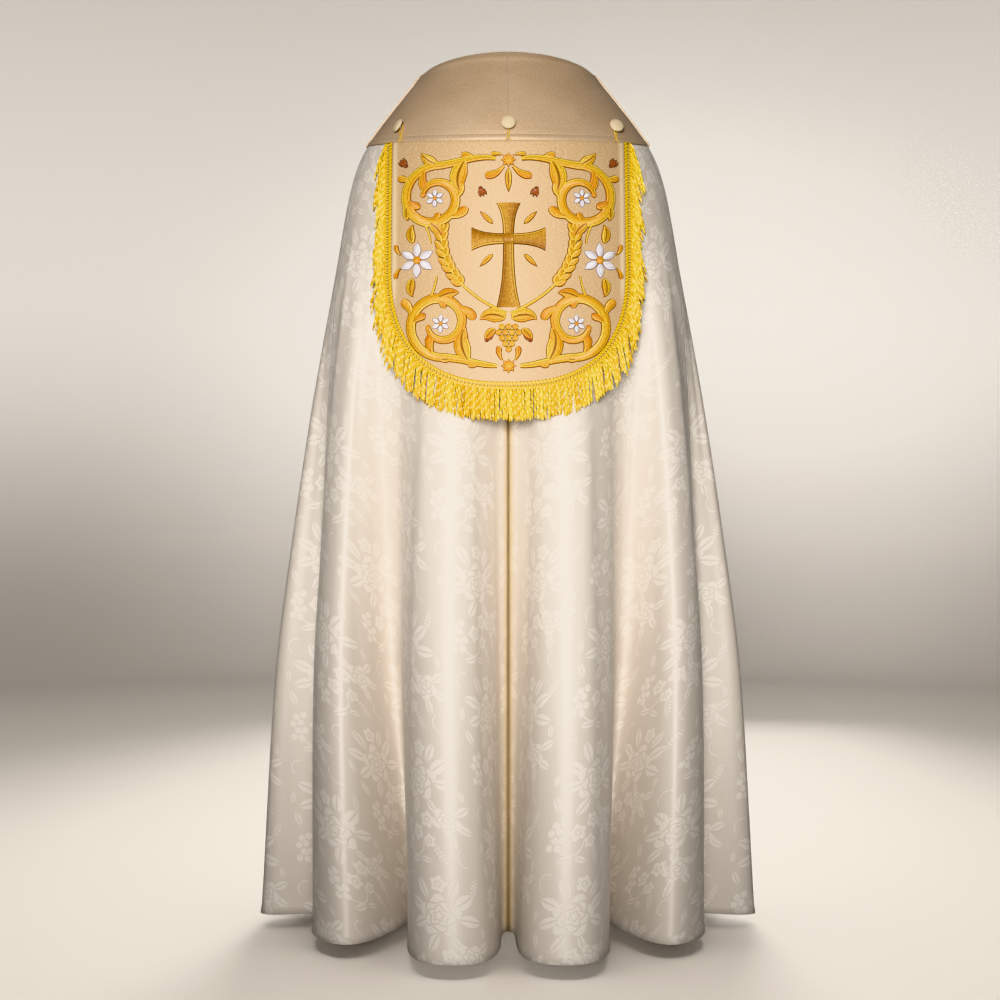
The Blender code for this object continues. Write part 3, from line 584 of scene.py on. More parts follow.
def blossom(x, y, turn, wide, high, petals, rings):
    """Open flower: a wavy outline with rings of petals drawn inside it by thin slits."""
    local = motif_place(x, y, turn, wide, high)
    reach = damask.length(local)
    right, up, _ = damask.parts(local)
    lobes = damask.math("MULTIPLY", damask.math("ARCTAN2", up, right), petals)
    body = None
    for radius, wave, shift in ((1.0, 0.16, 0.0),) + rings:
        wavy = damask.math("COSINE", damask.math("ADD", lobes, shift))
        gap = damask.math("SUBTRACT", damask.math("MULTIPLY_ADD", wavy, wave, radius), reach)
        body = gap if body is None else trim(body, damask.math("ABSOLUTE", gap), PETAL_SLIT)
    return cut_mask(body, min(wide, high))


def wheat_ear(x, y, turn, half_length, half_width, grains):
    """Ear of wheat: pairs of slanting grains along a stalk."""
    along, aside, _ = damask.parts(motif_place(x, y, turn, half_length, half_width))
    across = damask.math("ABSOLUTE", aside)
    slant = damask.math("MULTIPLY_ADD", across, -0.16, along)
    grain = damask.math("SINE", damask.math("MULTIPLY", slant, grains * math.pi))
    swell = damask.math("MULTIPLY_ADD", grain, 0.30, 0.48)
    width = damask.math("MULTIPLY", swell, inside_square(along))
    return cut_mask(trim(damask.math("SUBTRACT", width, across), across, WHEAT_SLIT), half_width)


def tendril(x, y, turn, radius, half_width, reach):
    """Arc of a curved stem; reach is the cosine of half its sweep, which opens towards turn."""
    local = motif_place(x, y, turn, radius, radius)
    ring = damask.math("SUBTRACT", damask.length(local), 1.0)
    body = damask.math("SUBTRACT", half_width / radius, damask.math("ABSOLUTE", ring))
    return cut_mask(trim(body, damask.parts(local)[0], reach), radius)


cloth_mm = damask.cut_mm()
across_cloth, down_cloth, _ = damask.parts(cloth_mm)
strip = damask.math("MULTIPLY_ADD", across_cloth, 1 / REPEAT_WIDE, 0.5)
drop = damask.math("PINGPONG", damask.math("FLOOR", strip), 1.0)
dropped = damask.math("MULTIPLY_ADD", drop, REPEAT_HIGH / 2, down_cloth)
repeat_x = damask.math("WRAP", across_cloth, REPEAT_WIDE / 2, -REPEAT_WIDE / 2)
repeat_y = damask.math("WRAP", dropped, REPEAT_HIGH / 2, -REPEAT_HIGH / 2)
repeat = damask.add("CombineXYZ", (repeat_x, repeat_y, 0.0))

# Each kind of motif, then the values of each: place (mm), turn (degrees) and half sizes (mm), then what
# its kind needs.
MOTIFS = (
    (
        blossom,
        (-4, 34, 12, 33, 29, 5, ((0.74, 0.10, 2.2), (0.48, 0.09, 0.4), (0.22, 0.05, 1.0))),
        (36, -28, -20, 22, 19, 5, ((0.62, 0.11, 2.0), (0.28, 0.06, 0.5))),
        (3, -26, 0, 13, 12, 5, ((0.34, 0.05, 0.0),)),
        (-22, -45, 40, 13, 12, 5, ((0.34, 0.05, 0.0),)),
        (2, -58, 20, 11, 10, 5, ((0.34, 0.05, 0.0),)),
        (4, 82, 0, 13, 12, 5, ((0.34, 0.05, 0.0),)),
    ),
    (
        leaf,
        *((38, 54, 32, 22, 10), (44, 26, -10, 21, 9.5), (27, 75, 58, 18, 8), (-44, 52, 158, 21, 9.5)),
        *((-43, 24, 198, 20, 9), (-26, 76, 118, 20, 9), (-20, -6, 232, 19, 8.5), (16, -6, -58, 14, 6.5)),
        *((63, -14, 28, 15, 7), (61, -42, -30, 16, 7), (40, -58, -78, 15, 6.5), (-62, -2, 112, 15, 6)),
        *((-69, 34, 84, 12, 4.5), (-36, -86, 12, 15, 6), (-10, -86, 168, 13, 5.5), (66, 8, 96, 12, 4.5)),
    ),
    (wheat_ear, (17, -78, -62, 24, 9, 8), (60, 76, 66, 22, 9, 8)),
    (tendril, (-30, -60, -90, 20, 1.8, -0.15), (-56, 84, 150, 13, 1.5, 0.1), (56, -84, 200, 14, 1.5, 0.2)),
    (
        berries,
        (6.2, (-58, -34), (-46, -30), (-63, -46), (-51, -43), (-56, -57), (-44, -56), (-63, -68), (-50, -69)),
    ),
)
masks = [kind(*values) for kind, *rows in MOTIFS for values in rows]
whole_figure = damask.math("ADD", damask.fold("MAXIMUM", masks), 0.0, use_clamp=True)

# Part of the figure is woven in a half tone of fine slanting lines, drawn twice as coarse as real.
hatch_place = damask.scale(cloth_mm, *(WAVE_LENGTH / HATCH_PITCH,) * 3)
hatch_lines = {"Vector": hatch_place, "Scale": 1.0, "Distortion": 5.0, "Detail": 1.0, "Detail Scale": 0.6}
hatch = damask.add("TexWave", hatch_lines, bands_direction="DIAGONAL").outputs["Fac"]
half_tone = damask.math("MULTIPLY_ADD", hatch, HALF_TONE, 1.0 - HALF_TONE)
figure = damask.math("MULTIPLY", whole_figure, half_tone)

# Threads are 0.1 mm apart in the silk and are drawn 1.4 mm apart, so that they show at all. Shade is
# painted into the cloth's colour as a warm khaki in the deep fold along the middle seam.
warp = damask.noise(damask.scale(cloth_mm, 1 / WARP_PITCH, 0.06 / WARP_PITCH, 0.0))
ground = damask.mix(damask.noise(cloth_mm, 0.012, 3.0), GROUND_SHADE, GROUND)
figured = damask.mix(figure, damask.mix(warp, ground, GROUND_LIGHT), FIGURE)
# Painted shade: the cloth turns warm khaki close to the middle seam.
aside_of_seam = damask.math("ABSOLUTE", damask.parts(damask.place())[0])
painted_shade_share = damask.ramp(aside_of_seam, PAINTED_SHADE_REACH, 0.0, 0.0, PAINTED_SHADE_DEPTH, smooth=True)
damask.finish(
    {
        "Base Color": damask.mix(painted_shade_share, figured, PAINTED_VALLEY_SHADE),
        "Roughness": damask.ramp(figure, 0.0, 1.0, GROUND_ROUGHNESS, FIGURE_ROUGHNESS),
        "Normal": damask.bump(warp, 0.35, 0.0003),
        "Sheen Weight": 0.10,
        "Sheen Roughness": 0.45,
        "Specular IOR Level": 0.62,
    }
)


def heights_down(tops):
    """Heights of a panel's rows, which lie closer at its top, for the tops of its columns."""
    shares = (np.arange(MANTLE_ROWS + 1) / MANTLE_ROWS)[:, None] ** ROW_CROWDING
    return tops + (HEM_HEIGHT - tops) * shares


def panel_places(angles):
    """Ring angles and heights of a panel, from the band's lower edge down to the hem."""
    heights = heights_down(yoke_height(angles) - SEAM_GAP / 2)
    return np.broadcast_to(angles, heights.shape), heights


def fold_angles(first, last):
    """Ring angles of the columns of a panel, evenly shared between crests and valleys."""
    angles = []
    for near, far in zip(TURNS[:-2], TURNS[1:-1]):
        angles.extend(np.linspace(near.ring_angle, far.ring_angle, COLUMNS_BETWEEN_TURNS, endpoint=False))
    return np.array([angle for angle in angles if first < angle < last])


def find_band_corner():
    """Ring angle at which the band's lower edge becomes its outer edge down the front."""
    angle = CORNER_GUESS
    for _ in range(CORNER_ROUNDS):
        angle = (angle + angle_from_front(yoke_height(angle), BAND_WIDTH)[0]) / 2
    return angle


BAND_CORNER = find_band_corner()
LAST_TURN = TURNS[-3].ring_angle

back_places = panel_places(
    np.concatenate(([0.0], fold_angles(0.1, 73.5), [PANEL_SEAM_ANGLE - PANEL_SEAM_TURN]))
)
side_angles, side_heights = panel_places(
    np.concatenate(([PANEL_SEAM_ANGLE + PANEL_SEAM_TURN], fold_angles(74.5, LAST_TURN - 0.1)))
)
shares = np.linspace(0.0, 1.0, COLUMNS_BETWEEN_TURNS)
edge_tops = yoke_height(LAST_TURN + (BAND_CORNER - LAST_TURN) * shares) - SEAM_GAP / 2
edge_heights = heights_down(edge_tops)
edge_ends = angle_from_front(edge_heights[:, -1], BAND_WIDTH + SEAM_GAP / 2)[:, None]
edge_angles = LAST_TURN + (edge_ends - LAST_TURN) * shares
side_places = [np.hstack(pair) for pair in ((side_angles, edge_angles), (side_heights, edge_heights))]

Panel = namedtuple("Panel", "name places start_across start_down flat area")
PANELS = (
    Panel("back", back_places, 0.052, 0.030, (1.25, 1.31), 0.95),
    Panel("side", side_places, 0.335, 0.118, (1.05, 1.31), 0.80),
)
for side, side_name in SIDES:
    for panel in PANELS:
        angle, height = panel.places
        points = cloak_point(angle, height)
        if panel.name == "back":
            points[:, 0, 0] = SEWN_GAP
        cut = flat_cut(points) + (panel.start_across, panel.start_down)
        rolled = HEM_ROLL * np.exp(-(((height - HEM_HEIGHT) / HEM_ROLL_WIDTH) ** 2))
        lift = crease_depth(side, angle, height) + rolled
        points = points + grid_normals(points) * lift[..., None]
        points[-1, :, 2] = HEM_HEIGHT
        if panel.name == "back":
            points[:, 0, 0] = SEWN_GAP
        cloth = lay_cloth(f"damask_{panel.name}_{side_name}", points, cut, side, MANTLE_THICKNESS, damask)
        enter(cloth, "ivory_damask", f"mantle_{panel.name}_{side_name}")

# ================================================================ yoke and orphreys
# The stiff band of gold lame: two halves over the back, seamed at the middle, and the same band down
# each front. It is interlined, turned in at its edges and topstitched, and the mantle is sewn to it.

BAND_OUT = 0.0012
BAND_THICKNESS = 0.0030
BAND_ROUNDING = 0.0005
LIP_HEIGHT = 0.0115
LIP_LIFT = 0.0013
LIP_GROOVE = 0.0007
LIP_GROOVE_WIDTH = 0.0018
NECK_ROLL_DEPTH = 0.0125
NECK_ROLL_WIDTH = 0.0060
NECK_ROLL_LIFT = 0.0016
NECK_DROP_POWER = 1.7
SHOULDER_SEAM_TURN = 0.05
YOKE_COLUMNS = 120
YOKE_ROWS = 60
ORPHREY_COLUMNS = 30
ORPHREY_TOP_ROWS = 44
ORPHREY_ROWS = 120
SEAM_DIP = 0.0004
SEAM_DIP_WIDTH = 0.0020
TOPSTITCH_ROWS = ((12.5, 0.9), (28.0, 0.5), (3.0, 0.6))  # height above the edge and half width, in mm
STITCH_PITCH = 3.2
STITCH_THREAD = "E2CDA6"
GRAIN_PITCH = 1.2
LAME_DARK = "9B7E61"
LAME = "BC9C80"
LAME_LIGHT = "D9BE9C"
LAME_PAINTED_SHEEN = "E0CAAA"

# Lame: flat metal ribbon in the weft over a silk warp, so both sets of threads glint. The threads are
# 0.15 mm apart and are drawn 1.2 mm apart.
lame = Shader("gold_lame_satin")
band_mm = lame.cut_mm()
ribbons = lame.noise(lame.scale(band_mm, 0.30 / GRAIN_PITCH, 1 / GRAIN_PITCH, 0.0))
silk = lame.noise(lame.scale(band_mm, 1 / GRAIN_PITCH, 0.22 / GRAIN_PITCH, 0.0))
glint = lame.math("MULTIPLY", lame.math("ADD", ribbons, silk), lame.noise(band_mm, 0.9))
glint_share = lame.ramp(glint, 0.18, 0.86)
# Painted sheen: broad soft patches where the lame's colour turns paler, standing in for light caught on it.
painted_sheen_cloud = lame.noise(lame.scale(band_mm, 0.011, 0.015, 0.0), detail=3.0)
lame_tint = lame.mix(glint_share, LAME_DARK, LAME_LIGHT)
lame_painted_sheen = lame.mix(glint_share, LAME, LAME_PAINTED_SHEEN)
lame_colour = lame.mix(lame.ramp(painted_sheen_cloud, 0.24, 0.80), lame_tint, lame_painted_sheen)
along_band, above_edge, _ = lame.parts(band_mm)
stitch_wave = lame.math("SINE", lame.math("MULTIPLY", along_band, math.tau / STITCH_PITCH))
stitch_rows = []
for row_height, half_width in TOPSTITCH_ROWS:
    away = lame.math("ABSOLUTE", lame.math("SUBTRACT", above_edge, row_height))
    stitch_rows.append(lame.math("SUBTRACT", half_width, away, use_clamp=True))
sewn = lame.fold("MAXIMUM", stitch_rows)
stitches = lame.math("MULTIPLY", sewn, lame.ramp(stitch_wave, -0.9, -0.3))
raised = lame.math("MULTIPLY_ADD", stitches, 1.6, lame.math("MULTIPLY", sewn, -2.4))
lame.finish(
    {
        "Base Color": lame.mix(stitches, lame_colour, STITCH_THREAD),
        "Metallic": 0.25,
        "Roughness": 0.46,
        "Normal": lame.bump(lame.math("MULTIPLY_ADD", glint, 1.2, raised), 0.5, 0.0004),
        "Sheen Weight": 0.08,
    }
)


def neck_height(angle):
    """Height of the neck edge at an array of ring angles."""
    turn = np.cos(np.radians(angle))
    front = np.maximum(-turn / -math.cos(math.radians(FRONT_ANGLE)), 0.0)
    return np.where(turn >= 0, NECK_BACK_HEIGHT * turn, NECK_FRONT_HEIGHT * front**NECK_DROP_POWER)


def band_relief(cut, height):
    """Lift of the turned and padded lower edge of a band, and of the soft roll at its neck edge."""
    low = cut[..., 1]
    lip = LIP_LIFT * soft_step(-0.001, 0.003, low) * soft_step(LIP_HEIGHT + 0.001, LIP_HEIGHT - 0.004, low)
    groove = LIP_GROOVE * np.exp(-(((low - LIP_HEIGHT - 0.001) / LIP_GROOVE_WIDTH) ** 2))
    below_neck = height - low
    roll = NECK_ROLL_LIFT * np.exp(-(((below_neck - NECK_ROLL_DEPTH) / NECK_ROLL_WIDTH) ** 2))
    return lip - groove + roll


yoke_angles = np.linspace(0.0, SHOULDER_ANGLE - SHOULDER_SEAM_TURN, YOKE_COLUMNS)
yoke_shares = np.linspace(0.0, 1.0, YOKE_ROWS)[:, None]
yoke_tops = neck_height(yoke_angles)
yoke_heights = yoke_tops + (yoke_height(yoke_angles) + SEAM_GAP / 2 - yoke_tops) * yoke_shares
yoke_points = cloak_point(np.broadcast_to(yoke_angles, yoke_heights.shape), yoke_heights)
yoke_cut = flat_cut(yoke_points)
yoke_cut[..., 1] -= yoke_cut[-1:, :, 1]
seam_dip = SEAM_DIP * np.exp(-((yoke_cut[..., 0] / SEAM_DIP_WIDTH) ** 2))
yoke_lift = BAND_OUT - seam_dip + band_relief(yoke_cut, yoke_cut[:1, :, 1])
yoke_points = yoke_points + grid_normals(yoke_points) * yoke_lift[..., None]
yoke_points[:, 0, 0] = SEWN_GAP

# An orphrey's rows run from the neck edge to the outer edge, round the shoulder and down the front.
start_angle = SHOULDER_ANGLE + SHOULDER_SEAM_TURN
outer_angles = np.linspace(start_angle, BAND_CORNER, ORPHREY_TOP_ROWS, endpoint=False)
share_round = (outer_angles - start_angle) / (BAND_CORNER - start_angle)
inner_angles = start_angle + (FRONT_ANGLE - start_angle) * share_round
inner_ends = [(angle, float(neck_height(angle))) for angle in inner_angles]
outer_ends = [(angle, float(yoke_height(angle)) + SEAM_GAP / 2) for angle in outer_angles]
neck_front = float(neck_height(FRONT_ANGLE))
corner_top = float(yoke_height(BAND_CORNER)) - SEAM_GAP / 2
for row in range(ORPHREY_ROWS + 1):
    share = (row / ORPHREY_ROWS) ** ROW_CROWDING
    inner_ends.append((FRONT_ANGLE, neck_front + (HEM_HEIGHT - neck_front) * share))
    level = corner_top + (HEM_HEIGHT - corner_top) * share
    outer_ends.append((float(angle_from_front(level, BAND_WIDTH - SEAM_GAP / 2)[0]), level))
band_shares = np.linspace(0.0, 1.0, ORPHREY_COLUMNS)[None, :, None]
inner_ends, outer_ends = np.array(inner_ends)[:, None], np.array(outer_ends)[:, None]
band_grid = inner_ends + (outer_ends - inner_ends) * band_shares
orphrey_points = cloak_point(band_grid[..., 0], band_grid[..., 1])
across_band = lengths_along(orphrey_points, 1)
orphrey_cut = np.stack((lengths_along(orphrey_points), across_band[:, -1:] - across_band), axis=-1)
orphrey_lift = BAND_OUT + band_relief(orphrey_cut, across_band[:, -1:])
orphrey_points = orphrey_points - grid_normals(orphrey_points) * orphrey_lift[..., None]
orphrey_points[-1, :, 2] = HEM_HEIGHT

for side, side_name in SIDES:
    wall = (BAND_THICKNESS, lame, BAND_ROUNDING)
    yoke = lay_cloth("lame_yoke_" + side_name, yoke_points, yoke_cut, side, *wall)
    enter(yoke, "gold_lame", "yoke_" + side_name)
    orphrey = lay_cloth("lame_orphrey_" + side_name, orphrey_points, orphrey_cut, -side, *wall)
    orphrey.data.transform(Matrix.Scale(-1.0, 4, (1.0, 0.0, 0.0)))
    orphrey.data.flip_normals()
    enter(orphrey, "gold_lame", "orphrey_" + side_name)

# ================================================================ shield
# The hood-shaped panel on the back, of pebbled gold lame on a stiff interlining. It hangs clear of
# the mantle from three loops, and carries the embroidery.

SHIELD_HALF_WIDTH = 0.195
SHIELD_TOP = -0.1362
SHIELD_TOP_RISE = 0.0063
SHIELD_SHOULDER = -0.327
SHIELD_BOTTOM = -0.5335
SHIELD_ROUNDNESS = 2.55
SHIELD_OUT = 0.0042
SHIELD_THICKNESS = 0.0020
SHIELD_ROUNDING = 0.0006
SHIELD_COLUMNS = 140
SHIELD_ROWS = 110
SHIELD_SHADE = "BB9A70"
SHIELD_CLOTH = "CFB18B"
SHIELD_GLINT = "E6CDA4"
# Colour of the highlight painted along the padded edge.
SHIELD_PAINTED_HIGHLIGHT = "ECD9B6"
PEBBLE_SIZE = 2.2
BORDER_PLACE = 0.1815
BORDER_WIDTH = 0.0034
BORDER_LIFT = 0.0009
BORDER_FOOT = -0.42
BORDER_FULL = -0.36
BORDER_PAINTED_HIGHLIGHT = 0.7
FLARE_STEP = 0.004


def back_point(x, height, out):
    """Points a distance out from the smooth back of the cloak, for arrays of places."""
    x, height, out = np.broadcast_arrays(x, height, out)
    half_width = ring_size(height, "half_width")
    depth = ring_size(height, "back")
    across = x / half_width
    flat = np.sqrt(np.maximum(1.0 - across**2, 0.0))
    flares = [
        (ring_size(height - FLARE_STEP, column) - ring_size(height + FLARE_STEP, column)) / (2 * FLARE_STEP)
        for column in ("half_width", "back")
    ]
    lift = flares[0] * across**2 / half_width + flares[1] * flat**2 / depth
    square = unit(np.stack((across / half_width, -flat / depth, lift), axis=-1))
    return np.stack((x, -depth * flat, height), axis=-1) + square * out[..., None]


def shield_top_height(x):
    """Height of the shield's top edge at distances from its middle."""
    return SHIELD_TOP + SHIELD_TOP_RISE * (x / SHIELD_HALF_WIDTH) ** 2


def shield_edge_height(x):
    """Height of the shield's rounded lower edge at distances from its middle."""
    share = np.minimum(np.abs(x) / SHIELD_HALF_WIDTH, 1.0)
    rise = (1.0 - share**SHIELD_ROUNDNESS) ** (1.0 / SHIELD_ROUNDNESS)
    return SHIELD_SHOULDER + (SHIELD_BOTTOM - SHIELD_SHOULDER) * rise


def shield_places(count):
    """Distances from the shield's middle, closer together towards its sides."""
    return SHIELD_HALF_WIDTH * np.sin(np.radians(np.linspace(-90.0, 90.0, count)))


# Crepe lame: the metal weft crinkles into grains about 0.8 mm wide, which glint singly. They are
# drawn 2.2 mm wide. A highlight is painted along the ridge of the padded edge, which makes the cloth paler
# there.
pebbled = Shader("gold_lame_pebbled")
shield_mm = pebbled.cut_mm()
pebbles = pebbled.add("TexVoronoi", {"Vector": shield_mm, "Scale": 1 / PEBBLE_SIZE, "Randomness": 0.9})
cross_grain = pebbled.noise(pebbled.scale(shield_mm, 0.25, 0.8, 0.0))
grain = pebbled.math("ADD", pebbled.noise(shield_mm, 0.55, 3.0), cross_grain)
pebble_tint = pebbled.mix(pebbled.ramp(grain, 0.75, 1.25), SHIELD_SHADE, SHIELD_CLOTH)
pebble_colour = pebbled.mix(pebbled.ramp(cross_grain, 0.56, 0.72), pebble_tint, SHIELD_GLINT)
pebbled.finish(
    {
        "Base Color": pebbled.mix(pebbled.attribute("painted_border_highlight"), pebble_colour, SHIELD_PAINTED_HIGHLIGHT),
        "Metallic": 0.10,
        "Roughness": 0.48,
        "Normal": pebbled.bump(pebbled.math("MULTIPLY_ADD", pebbles, -0.5, grain), 0.55, 0.0005),
        "Sheen Weight": 0.1,
    }
)

shield_x = shield_places(SHIELD_COLUMNS)
shield_tops = shield_top_height(shield_x)
shield_rows = np.linspace(0.0, 1.0, SHIELD_ROWS)[:, None]
shield_heights = shield_tops + (shield_edge_height(shield_x) - shield_tops) * shield_rows
ridge = np.exp(-(((np.abs(shield_x) - BORDER_PLACE) / BORDER_WIDTH) ** 2))
ridge = ridge * soft_step(BORDER_FOOT, BORDER_FULL, shield_heights)
shield_points = back_point(shield_x, shield_heights, SHIELD_OUT + BORDER_LIFT * ridge)
shield_cut = flat_cut(shield_points, SHIELD_COLUMNS // 2)
shield = lay_cloth("lame_shield", shield_points, shield_cut, 1, SHIELD_THICKNESS, pebbled, SHIELD_ROUNDING)
# Painted highlight: the ridge of the padded edge is given a paler colour.
paint(shield, "painted_border_highlight", BORDER_PAINTED_HIGHLIGHT * ridge.ravel())
enter(shield, "shield_lame", "shield")

# ================================================================ gimp and fringe
# A flat gold braid sewn over the shield's edge, with a row of metal beads along its middle, and the
# bullion fringe that hangs from it: twisted rayon cords that fan a little at the rounded corners.

GIMP_WIDTH = 0.0125
GIMP_OVERHANG = 0.0030
GIMP_IN = SHIELD_OUT + SEAM_GAP
GIMP_THICKNESS = 0.0010
GIMP_RELIEF = 0.0013
GIMP_PITCH = 0.0060
GIMP_STATIONS = 1000
GIMP_LINES = 13
GIMP_DEEP_AND_PAINTED_SHADE = "8A6410"
GIMP_PALE = "F4CC2C"
BEAD_RADIUS = 0.0012
BEAD_PITCH = 0.0040
STRAND_LENGTH = 0.0495
STRAND_PITCH = 0.0036
STRAND_RADIUS = 0.00160
STRAND_SECTIONS = 10
STRAND_SIDES = 4
STRAND_TWIST = 34.0
STRAND_LAYERS = 2
STRAND_SPACING = (0.82, 1.18)
STRAND_LENGTHS = (0.93, 1.05)
STRAND_RADII = (0.85, 1.12)
STRAND_FAN = (0.10, 0.34)
STRAND_WIDE_FAN = (0.34, 0.46)
STRAND_FAN_CHANCE = 0.85
STRAND_WAVE = 0.0012
STRAND_SWAY = 0.022
STRAND_OUT = 0.0006
LAYER_OUT = 0.0013
CROSSING_OUT = 0.0012
STRAND_TONE = 0.62
STRAND_TONE_SPREAD = 0.30
INNER_LAYER_PAINTED_SHADE = -0.30
STRAND_TIP_SHARE = 0.55
STRAND_ROOT = GIMP_OVERHANG - 0.0022
OUTLINE_STEPS = 480
OUTLINE_REACH = 0.0015

outline_x = shield_places(OUTLINE_STEPS + 1)
outline = np.stack((outline_x, shield_edge_height(outline_x)), axis=-1)
corner = (SHIELD_HALF_WIDTH, shield_top_height(SHIELD_HALF_WIDTH))
outline = np.concatenate(([(-corner[0], corner[1])], outline, [corner]))
outline_lengths = lengths_along(outline)
OUTLINE_LENGTH = outline_lengths[-1]


def on_outline(distance):
    """Places (x, height) along the shield's outline, and the directions square to it, outwards."""
    ends = []
    for shift in (-OUTLINE_REACH, 0.0, OUTLINE_REACH):
        at = np.clip(distance + shift, 0.0, OUTLINE_LENGTH)
        ends.append(np.stack([np.interp(at, outline_lengths, outline[:, axis]) for axis in (0, 1)], axis=-1))
    run = unit(ends[2] - ends[0])
    return ends[1], np.stack((run[..., 1], -run[..., 0]), axis=-1)


# Rayon gimp: shiny yellow filament plaited over a core. Shade is painted into its colour where the
# plaits dive under, and its tone also varies at random.
braid = Shader("gold_rayon_braid")
dive = braid.ramp(braid.attribute("relief"), 0.15, 0.75)
plait = braid.math("MULTIPLY", dive, braid.noise(braid.cut(), 700.0))
braid_colour = braid.mix(braid.ramp(plait, 0.05, 0.5), GIMP_DEEP_AND_PAINTED_SHADE, GIMP_PALE)
braid.finish({"Base Color": braid_colour, "Roughness": 0.42, "Metallic": 0.15})

stations = np.linspace(0.0, OUTLINE_LENGTH, GIMP_STATIONS)
edge_places, edge_out = on_outline(stations)
lines = np.linspace(0.0, 1.0, GIMP_LINES)
across = GIMP_OVERHANG - GIMP_WIDTH * lines
reach = edge_places[:, None] + edge_out[:, None] * across[None, :, None]
slant = np.abs(lines - 0.5) * 2.0
plaits = 0.5 + 0.5 * np.cos(math.tau * (stations[:, None] / GIMP_PITCH + 0.8 * slant))
rounded = np.sqrt(np.clip(1.0 - (2.0 * np.abs(slant - 0.55)) ** 2, 0.0, 1.0))
relief = plaits * 0.6 * rounded + 0.4 * rounded
gimp_points = back_point(reach[..., 0], reach[..., 1], GIMP_IN + GIMP_THICKNESS + GIMP_RELIEF * relief)
gimp_cut = np.stack(np.broadcast_arrays(stations[:, None], across), axis=-1)
gimp = lay_cloth("gimp_braid", gimp_points, gimp_cut, 1, GIMP_THICKNESS, braid)
paint(gimp, "relief", relief.ravel())
enter(gimp, "gold_fringe")

# The beads are gilt and sparkle in a few places each.
gilt = Shader("gilt_metal_bead")
bead_colour = gilt.mix(gilt.noise(gilt.place(), 900.0), "E0BC50", "FFF8CC")
gilt.finish({"Base Color": bead_colour, "Metallic": 0.10, "Roughness": 0.20})

beads = bmesh.new()
bead_places, bead_out = on_outline(np.arange(BEAD_PITCH, OUTLINE_LENGTH - BEAD_PITCH, BEAD_PITCH))
bead_places = bead_places + bead_out * (GIMP_OVERHANG - GIMP_WIDTH / 2)
for place in back_point(bead_places[:, 0], bead_places[:, 1], GIMP_IN + GIMP_THICKNESS + BEAD_RADIUS * 0.7):
    bmesh.ops.create_icosphere(beads, subdivisions=1, radius=BEAD_RADIUS, matrix=Matrix.Translation(place))
enter(add_piece("gimp_beads", beads, gilt, 20.0), "gold_fringe")

# Bullion: rayon filament twisted hard into cord, bright where the twist catches light. Each strand has
# its own tone.
bullion_cord = Shader("gold_rayon_bullion")
height, aside, _ = bullion_cord.parts(bullion_cord.cut())
ply = bullion_cord.math("SINE", bullion_cord.math("MULTIPLY_ADD", height, 2600.0, aside))
tone = bullion_cord.attribute("tone")
cord_deep = bullion_cord.mix(tone, "A87A0C", "F2CE34")
cord_pale = bullion_cord.mix(tone, "E6B422", "FFEC55")
bullion_cord.finish(
    {
        "Base Color": bullion_cord.mix(bullion_cord.ramp(ply, -1.0, 0.6), cord_deep, cord_pale),
        "Roughness": 0.36,
        "Metallic": 0.12,
        "Normal": bullion_cord.bump(ply, 0.2, 0.0003),
    }
)

strand_unit = bmesh.new()
first_ring = bmesh.ops.create_circle(strand_unit, cap_ends=False, segments=STRAND_SIDES, radius=1.0)["verts"]
ring_edges = list(dict.fromkeys(edge for vert in first_ring for edge in vert.link_edges))
for section in range(STRAND_SECTIONS):
    grown = bmesh.ops.extrude_edge_only(strand_unit, edges=ring_edges)["geom"]
    new_verts = [item for item in grown if isinstance(item, bmesh.types.BMVert)]
    bmesh.ops.translate(strand_unit, vec=(0.0, 0.0, 1.0), verts=new_verts)
    new_edges = [item for item in grown if isinstance(item, bmesh.types.BMEdge)]
    ring_edges = [edge for edge in new_edges if all(vert in new_verts for vert in edge.verts)]
bmesh.ops.holes_fill(strand_unit, edges=strand_unit.edges[:], sides=STRAND_SIDES)
bmesh.ops.recalc_face_normals(strand_unit, faces=strand_unit.faces[:])
unit_data = bpy.data.meshes.new("strand_unit")
strand_unit.to_mesh(unit_data)
strand_unit.free()

